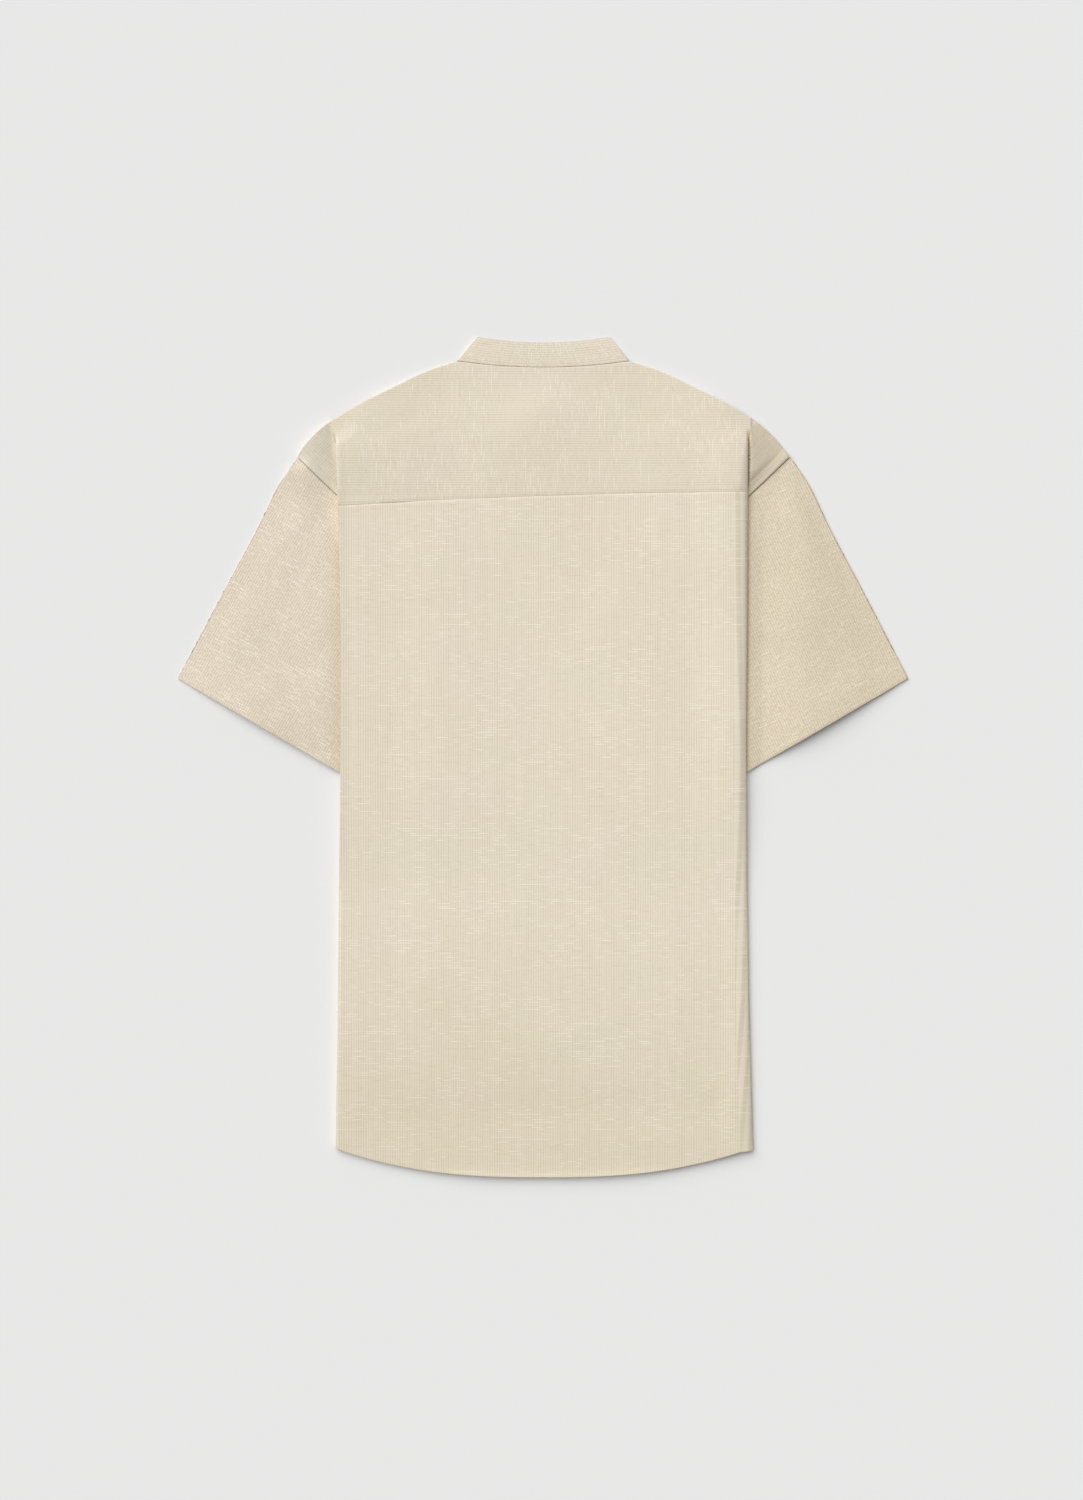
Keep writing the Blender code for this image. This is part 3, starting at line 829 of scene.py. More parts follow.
def up_the_cloth(rows, column, run):
    """The place that far up a column of knots, from its first one."""
    place = Vector(rows[0][column][:3])
    for row in rows[1:]:
        ahead = Vector(row[column][:3])
        length = (ahead - place).length
        if run <= length:
            break
        run -= length
        place = ahead
    return place.lerp(ahead, run / length)


def back_middle_level(x, y):
    """The back spans higher between the sides where they lie over the sleeves."""
    return MIDDLE_BACK_LEVEL + MIDDLE_BACK_RISE * beside_sleeve(y)


def back_half_row(side, share, columns):
    def y_of(x):
        return between(hem_y(x), yoke_seam_y(side.sign * x) + SEAM_ALLOWANCE, share)

    row, _ = body_half_row(side, BACK_LAYER, y_of, back_middle_level, columns, back_lift, body_flat)
    return mirrored(row, side)


def make_back(finish):
    low, high = HEM_MIDDLE_Y, YOKE_SEAM_Y + SEAM_ALLOWANCE
    fine_end, fine_start = low + FINE_HEM_RUN, high - FINE_SEAM_RUN
    heights = divided(low, (fine_end, FINE_ROW_STEP), (fine_start, ROW_STEP), (high, 1))
    shares = [(y - low) / (high - low) for y in heights]
    rows = [whole_row(back_half_row, share, body_columns()) for share in shares]
    piece = add_cloth("back", net_mesh(turn_hem(rows, -1)), finish)
    return piece


def yoke_half_row(side, layer, y_of, edge_share, columns, lift, flat):
    def middle_level(x, y):
        if layer is FRONT_LAYER:
            return FLOOR_LEVEL
        middle = MIDDLE_BACK_LEVEL + MIDDLE_BACK_RISE
        ease = between(YOKE_MIDDLE_EASE, YOKE_EASE, smooth(x / NECK_HALF_WIDTH))
        return between(UPPER_LEVEL, middle, smooth((1 - edge_share) / ease))

    row, fold = body_half_row(side, layer, y_of, middle_level, columns, lift, flat)
    row += ledge_knots(side, layer, fold, y_of(HEM_HALF_WIDTH), edge_share, row[-1])
    return mirrored(row, side)


def yoke_lift(x, y):
    """The yoke's soft creases, its pressed edge and stitches, and its neck edge under the collar."""
    above = y - yoke_seam_y(x)
    below_top = yoke_top_y(x) - y
    lift = creases_at(YOKE_CREASES, x, y) * smooth(below_top / YOKE_CREASE_FADE) * inside_creases(x)
    for place, width, depth in YOKE_DENTS:
        lift -= depth * exp(-(((above - place) / width) ** 2))
    if abs(x) < NECK_HALF_WIDTH:
        lift -= COLLAR_SEAM_DEPTH * smooth(1 - below_top / COLLAR_SEAM_RUN)
    return lift


def make_yoke(finish):
    columns = body_columns(SHOULDER_START_X)
    heights = divided(0, *YOKE_PARTS)
    rows = [whole_row(back_yoke_half_row, height / heights[-1], columns) for height in heights]
    first_turned = len(rows) - 1
    shares = steps(0, 1, FRONT_YOKE_ROW_SHARE)
    fronts = [whole_row(front_yoke_half_row, share, columns) for share in shares]
    rows += [*shoulder_turn(rows[-1], fronts[0]), *fronts]
    mesh = net_mesh(rows)
    mesh.verts.ensure_lookup_table()
    reach = (SHOULDER_START_X + NECK_MARGIN) * MM
    turned = {vert for vert in mesh.verts[len(rows[0]) * first_turned :] if abs(vert.co.x) < reach}
    neck = [face for face in mesh.faces if set(face.verts) <= turned]
    bmesh.ops.delete(mesh, geom=neck, context="FACES")
    piece = add_cloth("yoke", mesh, finish)
    return piece


def shoulder_turn(upper, lower):
    """The rows that take the yoke over the shoulder's edge."""
    turned = []
    for step in range(1, SHOULDER_TURN_STEPS):
        around = pi * step / SHOULDER_TURN_STEPS
        share = (1 - cos(around)) / 2
        row = []
        for above, below in zip(upper, lower):
            place = [between(a, b, share) for a, b in zip(above[:3], below[:3])]
            place[1] += LAYER_STEP / 2 * sin(around)
            row.append(Knot(*place, above.across + LAYER_STEP / 2 * around, above.along))
        turned.append(row)
    return turned


def back_yoke_half_row(side, share, columns):
    def y_of(x):
        x = min(x, HEM_HALF_WIDTH)
        return between(yoke_seam_y(side.sign * x), yoke_top_y(x), share)

    return yoke_half_row(side, BACK_LAYER, y_of, share, columns, yoke_lift, yoke_flat)


def front_yoke_half_row(side, share, columns):
    def y_of(x):
        return yoke_top_y(min(max(x, NECK_HALF_WIDTH), HEM_HALF_WIDTH)) - FRONT_YOKE_DEPTH * share

    return yoke_half_row(side, FRONT_LAYER, y_of, 1 - share / 2, columns, nothing, front_yoke_flat)


def placket_level(x, side):
    """How far the overlapping front edges are held up by the buttons under them."""
    top, flat = RIGHT_PLACKET_LEVEL, RIGHT_PLACKET_FLAT
    if side is LEFT:
        top, flat = LEFT_PLACKET_LEVEL, LEFT_PLACKET_FLAT
    return between(top, FLOOR_LEVEL, smooth((abs(x) - BUTTON_STAND - flat) / PLACKET_RUN))


def front_half_row(side, share, columns):
    def y_of(x):
        top = front_top_y(min(abs(x), HEM_HALF_WIDTH))
        return between(hem_y(x) + FRONT_HEM_SHORTER, top, share)

    def middle_level(x, y):
        return placket_level(x, side)

    row, _ = body_half_row(side, FRONT_LAYER, y_of, middle_level, columns, nothing, body_flat)
    return mirrored(row, side)


def make_front(side, finish):
    columns = [*STAND_COLUMNS, *body_columns()]
    low = HEM_MIDDLE_Y + FRONT_HEM_SHORTER
    high = front_top_y(HEM_HALF_WIDTH)
    shares = [(y - low) / (high - low) for y in steps(low, high, FRONT_ROW_STEP)]
    rows = turn_hem([front_half_row(side, share, columns) for share in shares], side.sign)
    piece = add_cloth(f"front_{side.name}", net_mesh(rows), finish)
    return piece


def sleeve_place(side, across, along):
    """A place on the laid sleeve: across from its outer fold, and along from armhole to cuff."""
    armhole = ARMHOLES[side.name]
    head = point_along(armhole, across * length_of(armhole))
    out = read_smooth(OVERARM_BULGE, along, "out") * (1 - across) ** 2
    corners = zip(head, CUFF_OUTER, CUFF_INNER, OVERARM_WAY)
    return tuple(between(a, between(b, c, across), along) + way * out for a, b, c, way in corners)


def sleeve_flat(side, x, y, under):
    """Where a place is on the flat sleeve, whose stripes run its own way on each side."""
    dx, dy = x - side.tip[0], y - side.tip[1]
    angle = side.sleeve_pattern
    across = dx * sin(angle) + dy * cos(angle)
    along = dx * cos(angle) - dy * sin(angle)
    return side.sign * (across if under else -across), along


def sleeve_ring(side, along, turned_in=0):
    """One closed ring of the flattened sleeve: over the top, round the inner fold and back below."""
    lift = CUFF_LIFT * smooth(2 * along - 1)
    groove = SEAM_GROOVE * (1 - smooth(along * SLEEVE_RUN / SEAM_GROOVE_RUN))
    band = CUFF_BAND_RISE * smooth(((along - 1) * SLEEVE_RUN + CUFF_HEM_DEPTH) / CUFF_BAND_RUN + 0.5)
    upper, lower = UPPER_LEVEL - turned_in - groove, FLOOR_LEVEL + turned_in
    ends = smooth(along * SLEEVE_END_FADE) * smooth((1 - along) * SLEEVE_END_FADE)
    ring = []
    for across in steps(SLEEVE_INSET, 1 - SLEEVE_INSET, SLEEVE_UPPER_SHARE):
        x, y = sleeve_place(side, across, along)
        raised = lift * sin(pi * min(1, across / CUFF_LIFT_SHARE)) ** 2
        inside = smooth(across * SLEEVE_END_FADE) * smooth((1 - across) * SLEEVE_END_FADE)
        full = creases_at(SLEEVE_CREASES[side.name], x, y) * ends
        rise_here = read_smooth(SLEEVE_RISE, x - fold_x(side, y), side.name)
        full += rise_here * smooth(along * SLEEVE_FULLNESS_START)
        seam = seam_lift(side, dist(side.tip, (x, y))) * (1 - smooth(along * TIP_SEAM_FADE))
        z = upper + raised + seam + (max(full, SLEEVE_LOWEST) + band) * inside
        ring.append(Knot(x, y, z, *sleeve_flat(side, x, y, False)))
    ring += sleeve_edge(side, along, 1 - SLEEVE_INSET, INNER_FOLD_WAY, upper, lower, False)
    for across in steps(1 - SLEEVE_INSET, SLEEVE_INSET, SLEEVE_UNDER_SHARE):
        x, y = sleeve_place(side, across, along)
        ring.append(Knot(x, y, lower, *sleeve_flat(side, x, y, True)))
    ring += sleeve_edge(side, along, SLEEVE_INSET, OVERARM_WAY, lower, upper, True)
    ring.append(ring[0])
    return mirrored(ring, side)


def sleeve_edge(side, along, across, outward, start_z, end_z, under):
    """One edge fold: a round lip on the half where it starts, closed by a wall to the other half."""
    x, y = sleeve_place(side, across, along)
    middle, half = (start_z + end_z) / 2, (start_z - end_z) / 2
    knots = []
    for angle in steps(0, pi, pi / TURN_STEPS)[1:-1]:
        out = abs(half) * sin(angle)
        x_out, y_out = x + outward[0] * out, y + outward[1] * out
        z = middle + half * abs(cos(angle))
        knots.append(Knot(x_out, y_out, z, *sleeve_flat(side, x_out, y_out, under)))
    return knots


def make_sleeve(side, finish):
    """The sleeve, with its hem turned up inside it."""
    rows = []
    for run in divided(0, *SLEEVE_PARTS):
        rows.append(sleeve_ring(side, run / SLEEVE_RUN))
    for bend in steps(0, pi, pi / 4)[1:]:
        past = HEM_TURN_RADIUS * sin(bend) / SLEEVE_RUN
        rows.append(sleeve_ring(side, 1 + past, HEM_TURN_RADIUS * (1 - cos(bend))))
    for run in steps(SLEEVE_RUN, CUFF_HEM_RUN, ROW_STEP)[1:]:
        rows.append(sleeve_ring(side, run / SLEEVE_RUN, 2 * HEM_TURN_RADIUS))
    piece = add_cloth(f"sleeve_{side.name}", net_mesh(rows, closed=True), finish)
    return piece


def collar_half(side):
    """Pairs of base and top knots, from the middle of the back round to the end at the front."""
    edge = LAYER_STEP / 2 + COLLAR_WALL / 2
    half_width = NECK_HALF_WIDTH - edge
    pairs = []
    for share in steps(0, 1, COLLAR_BACK_SHARE):
        base = (half_width * share, between(NECK_BACK_Y, NECK_SIDE_Y, share**2), UPPER_LEVEL)
        top_y = between(COLLAR_TOP_Y, COLLAR_TOP_SIDE_Y, share**2) - COLLAR_WALL / 2
        pairs.append((base, ((COLLAR_TOP_HALF_WIDTH - edge) * share, top_y, UPPER_LEVEL)))
    ends = pairs[-1]
    for angle in steps(0, pi, pi / TURN_STEPS)[1:-1]:
        out = LAYER_STEP / 2 * sin(angle)
        down = LAYER_STEP / 2 * (1 - cos(angle))
        pairs.append(tuple((x + out, y, z - down) for x, y, z in ends))
    slant = [high - low for low, high in zip(*ends)][:2]
    quarter = pi / 2
    for angle in (*steps(0, quarter, COLLAR_FRONT_TURN), quarter + COLLAR_END_TURN):
        past = BUTTON_STAND if angle > quarter else 0
        x = half_width * cos(min(angle, quarter)) - past
        y = NECK_SIDE_Y - NECK_FRONT_DROP * sqrt(1 - (x / half_width) ** 2)
        inward = (-NECK_FRONT_DROP * cos(angle), half_width * sin(angle))
        scale = COLLAR_HEIGHT / hypot(*inward)
        share = smooth(angle / COLLAR_LEAN_END)
        across = [between(a, b * scale, share) for a, b in zip(slant, inward)]
        top = (x + across[0], y + across[1], placket_level(x + across[0], side))
        pairs.append(((x, y, placket_level(x, side)), top))
    return pairs


def collar_rows():
    halves = []
    for side in SIDES:
        run, before, half = 0, None, []
        for base, top in collar_half(side):
            run += dist(base, before or base)
            before = base
            half.append((side.sign, base, top, run))
        halves.append(half)
    left, right = halves
    rows = []
    for share in steps(0, 1, COLLAR_ROW_SHARE):
        row = []
        for sign, base, top, run in (*reversed(left), *right[1:]):
            x, y, z = (between(a, b, share) for a, b in zip(base, top))
            if z > UPPER_LEVEL - LEVEL_MARGIN and base[1] > NECK_BACK_Y - COLLAR_FULL_DEPTH:
                z += COLLAR_FULLNESS * sin(pi * share) ** 0.5
            row.append(Knot(sign * x, y, z, share * COLLAR_HEIGHT, sign * run))
        rows.append(row)
    return rows


def make_collar(finish):
    piece = add_cloth("collar", net_mesh(collar_rows()), finish, COLLAR_WALL)
    return piece


# Sewing

# Where rows of stitches start and end: out from the middle, and up the side
YOKE_STITCHES_END = 186
HEM_STITCHES_END = 190
FRONT_HEM_STITCHES_END = 118
TURNED_HEM_STITCHES = (112, 190)
FRONT_YOKE_STITCHES = (84, 172)
SIDE_STITCHES_START_Y = -318
HEM_FOLD_Y = -360
PLACKET_STITCH_DEPTH = 1.3
# How far a stitch strays in its place, in its length and aside
PLACE_STRAY = 0.12
LENGTH_STRAY = 0.15
SIDE_STRAY = 0.04


def surface_of(pieces):
    """The faces of some pieces of cloth, to lay thread on."""
    mesh = bmesh.new()
    for piece in pieces:
        mesh.from_mesh(piece.data)
    tree = BVHTree.FromBMesh(mesh)
    mesh.free()
    return tree


def on_surface(surface, x, y, way):
    """Where a vertical line meets the cloth from above (way -1) or from below (way 1)."""
    start = Vector((x, y, -50 * way)) * MM
    place, normal, _, _ = surface.ray_cast(start, Vector((0, 0, way)))
    if place is None:
        return None, None
    return place, normal if normal.z * way < 0 else -normal


def lay_stitch(mesh, start, end, normal):
    """One stitch from start to end, half sunk in the cloth."""
    forward = end - start
    if forward.length < SHORTEST_STITCH * MM:
        return
    ahead = forward.normalized()
    aside = normal.cross(ahead).normalized()
    axes = Matrix((ahead, aside, ahead.cross(aside))).transposed().to_4x4()
    radius = THREAD_RADIUS * MM
    size = Matrix.Diagonal((forward.length / 2, radius, radius * THREAD_FLATNESS, 1))
    shape = Matrix.Translation((start + end) / 2) @ axes @ size
    bmesh.ops.create_icosphere(mesh, subdivisions=1, radius=1.0, matrix=shape)


def stray(most):
    return random.uniform(-most, most)


def stitch_line(mesh, surface, line, way):
    """A row of stitches along a line of places on the cloth."""
    length = length_of(line)
    for index in range(int(length / STITCH_PITCH)):
        run = index * STITCH_PITCH + stray(PLACE_STRAY)
        ends = []
        for part in (0, STITCH_LENGTH + stray(LENGTH_STRAY)):
            x, y = point_along(line, min(max(run + part, 0), length - 0.01))
            ends.append(on_surface(surface, x, y + stray(SIDE_STRAY), way))
        (start, normal), (end, _) = ends
        if start is not None and end is not None and abs(start.z - end.z) < STITCH_CLIMB * MM:
            lay_stitch(mesh, start, end, normal)


def add_thread(name, mesh, finish):
    for face in mesh.faces:
        face.smooth = True
    add_piece(name, mesh, finish)


def stitched(name, piece, lines, finish, way=-1):
    """All the stitches of one seam as one piece."""
    surface = surface_of([piece])
    mesh = bmesh.new()
    for line in lines:
        stitch_line(mesh, surface, line, way)
    add_thread(f"{name}_thread", mesh, finish)


def edge_line(y_of, start, end, step=4):
    return [(x, y_of(x)) for x in steps(start, end, step)]


def laid(side, line):
    """A line of the right half, on the side where it belongs."""
    return [(side.sign * x, y) for x, y in line]


def beside(points, offset):
    """A line beside another, to its left where the offset is positive."""
    moved = []
    for index, (x, y) in enumerate(points):
        ahead = points[min(index + 1, len(points) - 1)]
        behind = points[max(index - 1, 0)]
        dx, dy = ahead[0] - behind[0], ahead[1] - behind[1]
        length = hypot(dx, dy)
        moved.append((x - dy / length * offset, y + dx / length * offset))
    return moved


def sew(cloth, thread):
    """The stitches of the seams seen from above, and those under the cuffs."""
    end = YOKE_STITCHES_END
    edge = edge_line(lambda x: yoke_seam_y(x) + EDGE_STITCH_DEPTH, -end, end)
    stitched("yoke_seam", cloth["yoke"], [edge], thread)
    for side in SIDES:
        lines = []
        for depth in (FELLED_SEAM_WIDTH, ARMHOLE_STITCH_DEPTH):
            line = beside(ARMHOLES[side.name], -depth)
            lines.append(laid(side, [(x, y) for x, y in line if x > fold_x(side, y) + 1]))
        stitched(f"armhole_{side.name}", cloth["yoke"], lines, thread)
        hem = 1 - CUFF_HEM_DEPTH / SLEEVE_RUN
        cuff = [laid(side, [sleeve_place(side, across, hem) for across in steps(0.02, 0.98, 0.02)])]
        stitched(f"cuff_{side.name}", cloth[f"sleeve_{side.name}"], cuff, thread)
        stitched(f"cuff_{side.name}_under", cloth[f"sleeve_{side.name}"], cuff, thread, way=1)
    end = HEM_STITCHES_END
    hem = edge_line(lambda x: hem_y(x) + HEM_STITCH_DEPTH, -end, end)
    stitched("back_hem", cloth["back"], [hem], thread)


def sew_underside(cloth, thread):
    """The stitches of the side that rests: side seams, hems, front yoke seams and placket."""
    for side in SIDES:
        inner = 1 - BUTTON_STAND if side is LEFT else BUTTON_STAND + 2
        depth = HEM_STITCH_DEPTH + FRONT_HEM_SHORTER
        hem = edge_line(lambda x: hem_y(x) + depth, inner, FRONT_HEM_STITCHES_END)
        stitched(f"front_{side.name}_hem", cloth[f"front_{side.name}"], [laid(side, hem)], thread, way=1)
        seams = []
        for depth in (EDGE_STITCH_DEPTH, FELLED_SEAM_WIDTH):
            heights = steps(SIDE_STITCHES_START_Y, UNDERARM_Y, 6)
            seams.append([(turn_start_x(side, y) - lap_width(side, y) + depth, y) for y in heights])
        mirror = 2 * fold_x(side, HEM_FOLD_Y)
        hem = edge_line(lambda x: hem_y(mirror - x) + HEM_STITCH_DEPTH, *TURNED_HEM_STITCHES, 3)
        seams.append(hem)
        seams = [laid(side, seam) for seam in seams]
        stitched(f"side_{side.name}", cloth["back"], seams, thread, way=1)
        depth = SEAM_GAP + EDGE_STITCH_DEPTH
        yoke_edge = edge_line(lambda x: front_top_y(x) + depth, *FRONT_YOKE_STITCHES)
        stitched(f"front_yoke_{side.name}", cloth["yoke"], [laid(side, yoke_edge)], thread, way=1)
        head = laid(side, beside(ARMHOLES[side.name], HEAD_STITCH_DEPTH))
        stitched(f"armhole_{side.name}_under", cloth[f"sleeve_{side.name}"], [head], thread, way=1)
    top, low = front_top_y(0) - 2, HEM_MIDDLE_Y + FRONT_HEM_SHORTER + 1.5
    edge = BUTTON_STAND - PLACKET_STITCH_DEPTH
    lines = [[(x, low), (x, top)] for x in (edge, -edge)]
    stitched("placket", cloth["front_left"], lines, thread, way=1)


# Buttons

BUTTON_PROFILE = table(
    "radius height",
    (0, 0.55), (3, 0.55), (3.5, 0.35), (3.9, 0.08), (4.4, 0), (5, 0.12),
    (5.4, 0.5), (5.5, 0.95), (5.3, 1.5), (4.7, 1.9), (3.6, 2), (0, 2),
)
BUTTON_SIDES = 40
HOLE_MIDDLE = 1.08
HOLE_DRILL_LENGTH = 6
HOLE_SIDES = 12
SHANK_RADIUS = 1.7
SHANK_LENGTH = 0.55
SHANK_MIDDLE = BUTTON_THICKNESS + 0.25
SHANK_SIDES = 14
TIE_OVERRUN = 0.3
TIE_PITCH = 0.2
BUTTONHOLE_HALF = 7.2
BUTTONHOLE_PITCH = 0.45
# How far off the slit its stitches start and end, and the bars across its ends
BUTTONHOLE_STITCH = (0.22, 1.3)
BAR_HALF_WIDTH = 1.2
BAR_HALF_DEPTH = 0.45
BAR_PITCH = 0.5
TIE_LEVEL = 0.52


def button_mesh():
    """A turned button with its face down and a raised rim, before its holes are drilled."""
    mesh = bmesh.new()
    bmesh.ops.create_grid(mesh, x_segments=len(BUTTON_PROFILE) - 1, y_segments=1, size=1.0)
    mesh.verts.ensure_lookup_table()
    bmesh.ops.delete(mesh, geom=mesh.verts[len(BUTTON_PROFILE):], context="VERTS")
    mesh.verts.ensure_lookup_table()
    for vert, ring in zip(mesh.verts, BUTTON_PROFILE):
        vert.co = Vector((ring.radius, 0, ring.height)) * MM
    way = {"cent": (0, 0, 0), "axis": (0, 0, 1), "angle": tau}
    bmesh.ops.spin(mesh, geom=mesh.edges[:], steps=BUTTON_SIDES, use_merge=True, **way)
    bmesh.ops.remove_doubles(mesh, verts=mesh.verts, dist=MERGE_DISTANCE * MM)
    bmesh.ops.recalc_face_normals(mesh, faces=mesh.faces)
    return mesh


def add_rod(mesh, place, radius, length, sides):
    """An upright round rod about a place in millimetres."""
    matrix = Matrix.Translation(Vector(place) * MM)
    size = {"radius1": radius * MM, "radius2": radius * MM, "depth": length * MM}
    bmesh.ops.create_cone(mesh, cap_ends=True, segments=sides, matrix=matrix, **size)


def drilled(mesh):
    """The button's mesh with its four holes."""
    cutter = bmesh.new()
    for x in (-BUTTON_HOLE_SPREAD, BUTTON_HOLE_SPREAD):
        for y in (-BUTTON_HOLE_SPREAD, BUTTON_HOLE_SPREAD):
            add_rod(cutter, (x, y, HOLE_MIDDLE), BUTTON_HOLE_RADIUS, HOLE_DRILL_LENGTH, HOLE_SIDES)
    blank = add_object("button_blank", mesh_data("button_blank", mesh))
    drill = add_object("button_drill", mesh_data("button_drill", cutter))
    cut = blank.modifiers.new("Holes", "BOOLEAN")
    cut.operation = "DIFFERENCE"
    cut.solver = "EXACT"
    cut.object = drill
    made = modified(blank)
    bpy.data.objects.remove(blank)
    bpy.data.objects.remove(drill)
    return made


def make_buttons(cloth, finish, thread):
    """The buttons, the threads that hold them, and the stitched buttonholes behind them."""
    shape = drilled(button_mesh())
    places = {}
    for number in range(BUTTON_COUNT):
        places[f"placket_button_{number + 1}"] = FIRST_BUTTON_Y - number * BUTTON_SPACING
    places["collar_button"] = COLLAR_BUTTON_Y
    surface = surface_of([cloth["front_left"], cloth["collar"]])
    ties = bmesh.new()
    holes = bmesh.new()
    for node, y in places.items():
        mesh = bmesh.new()
        mesh.from_mesh(shape)
        bmesh.ops.translate(mesh, verts=mesh.verts, vec=(0, y * MM, 0))
        for face in mesh.faces:
            face.smooth = True
        piece = add_piece(f"{node}_turned", mesh, finish)
        piece.data.set_sharp_from_angle(angle=SHARP_BUTTON)
        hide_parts(node)
        tie_button(ties, y)
        stitch_buttonhole(holes, surface, y)
    add_thread("button_ties", ties, thread)
    add_thread("buttonhole_thread", holes, thread)


def tie_button(mesh, y):
    """Two bars of thread across the button's face, and the thread behind it."""
    spread = BUTTON_HOLE_SPREAD
    reach = spread + TIE_OVERRUN
    for aside in (-spread, spread):
        for x in (aside - TIE_PITCH, aside, aside + TIE_PITCH):
            ends = [Vector((x, end, TIE_LEVEL)) * MM for end in (y - reach, y + reach)]
            lay_stitch(mesh, *ends, Vector((0, 0, -1)))
    add_rod(mesh, (0, y, SHANK_MIDDLE), SHANK_RADIUS, SHANK_LENGTH, SHANK_SIDES)


def stitch_buttonhole(mesh, surface, y):
    """Close stitches on both sides of the slit and across its ends."""
    half = BUTTONHOLE_HALF
    near, far = BUTTONHOLE_STITCH
    wide, deep = BAR_HALF_WIDTH, BAR_HALF_DEPTH
    level = y == COLLAR_BUTTON_Y
    lines = []
    for run in steps(-half, half, BUTTONHOLE_PITCH):
        lines += [((way * near, run), (way * far, run)) for way in (-1, 1)]
    for end in (-half, half):
        bar = steps(-wide, wide, BAR_PITCH)
        lines += [((aside, end - deep), (aside, end + deep)) for aside in bar]
    for line in lines:
        ends = [on_surface(surface, *((b, y + a) if level else (a, y + b)), 1) for a, b in line]
        (start, normal), (end, _) = ends
        if start is not None and end is not None:
            lay_stitch(mesh, start, end, normal)


# Looks of the cloth


class Value:
    """A socket that takes part in sums."""

    def __init__(self, nodes, socket):
        self.nodes = nodes
        self.socket = socket

    def math(self, operation, *others):
        return self.nodes.math(operation, self, *others)

    def __add__(self, other):
        return self.math("ADD", other)

    def __mul__(self, other):
        return self.math("MULTIPLY", other)

    def __sub__(self, other):
        return self.math("SUBTRACT", other)

    def __rsub__(self, other):
        return self.nodes.math("SUBTRACT", other, self)

    def __truediv__(self, other):
        return self.math("DIVIDE", other)

    def __rtruediv__(self, other):
        return self.nodes.math("DIVIDE", other, self)

    __radd__ = __add__
    __rmul__ = __mul__


class Nodes:
    """A material's nodes, made one at a time."""

    def __init__(self, name):
        self.material = bpy.data.materials.new(name)
        self.material.use_nodes = True
        self.tree = self.material.node_tree
        self.shader = self.tree.nodes["Principled BSDF"]

    def add(self, kind, settings, inputs, output=0):
        node = self.tree.nodes.new(kind)
        for name, value in settings.items():
            setattr(node, name, value)
        for key, value in inputs.items():
            self.put(node.inputs[key], value)
        return Value(self, node.outputs[output])

    def put(self, socket, value):
        if isinstance(value, Value):
            self.tree.links.new(value.socket, socket)
        elif isinstance(value, tuple) and len(value) == 3 and socket.type == "RGBA":
            socket.default_value = (*value, 1)
        else:
            socket.default_value = value

    def set(self, values):
        """The shader's own sockets, by name."""
        for name, value in values.items():
            self.put(self.shader.inputs[name], value)

    def math(self, operation, *inputs):
        return self.add("ShaderNodeMath", {"operation": operation}, dict(enumerate(inputs)))

    def mix(self, share, first, second, blend="MIX"):
        settings = {"data_type": "RGBA", "blend_type": blend}
        return self.add("ShaderNodeMix", settings, {0: share, 6: first, 7: second}, output=2)

    def multiply(self, first, second):
        return self.mix(1, first, second, "MULTIPLY")

    def mix_numbers(self, share, first, second):
        return self.add("ShaderNodeMix", {"data_type": "FLOAT"}, {0: share, 2: first, 3: second})

    def between(self, value, low, high):
        """0 below low, 1 above high and a smooth step between them."""
        inputs = {"Value": value, "From Min": low, "From Max": high}
        return self.add("ShaderNodeMapRange", {"interpolation_type": "SMOOTHSTEP"}, inputs)

    def noise(self, vector, scale, detail, roughness=0.5):
        inputs = {"Vector": vector, "Scale": scale, "Detail": detail, "Roughness": roughness}
        return self.add("ShaderNodeTexNoise", {}, inputs)

    def flat_noise(self, across, along, detail, roughness=0.5):
        """Noise over the flat cloth."""
        place = self.add("ShaderNodeCombineXYZ", {}, {0: across, 1: along})
        return self.noise(place, 1, detail, roughness)

    def patches(self, kind, across, along):
        """Soft patches over the flat cloth, from 0 between them to 1 in them."""
        along = along * kind.along
        if kind.shift:
            along = along + kind.shift
        noise = self.flat_noise(across * kind.across, along, kind.detail, kind.roughness)
        return self.between(noise, kind.low, kind.high)

    def chance(self, number):
        """A number from 0 to 1 picked by another."""
        return self.add("ShaderNodeTexWhiteNoise", {"noise_dimensions": "1D"}, {"W": number})


# How a panel's cloth looks: where its pattern starts, its tone (painted shade on the right sleeve), how
# strong its stripe, slubs and mottling are, its painted shade near the hem and its painted shades
# past the left and right fold
Finish = namedtuple("Finish", "seed tone contrast slubs mottle low_tone ledge_tones")
PLAIN = Finish(1, WHITE, 1, 1, 0.2, WHITE, ())
SLEEVE = PLAIN._replace(contrast=1.35, slubs=0.9, mottle=1)
FINISHES = {
    "front": PLAIN._replace(seed=3),
    "back": PLAIN._replace(low_tone=LOW_PAINTED_SHADE),
    "yoke": PLAIN._replace(
        seed=2, contrast=0.85, mottle=0.35, tone=YOKE_TONE, ledge_tones=LEDGE_PAINTED_SHADES
    ),
    "sleeve_left": SLEEVE._replace(seed=4, slubs=1.25, tone=LEFT_SLEEVE_TONE),
    "sleeve_right": SLEEVE._replace(seed=6, tone=RIGHT_SLEEVE_PAINTED_SHADE),
    "collar": PLAIN._replace(seed=5, mottle=0.8, tone=COLLAR_TONE),
}

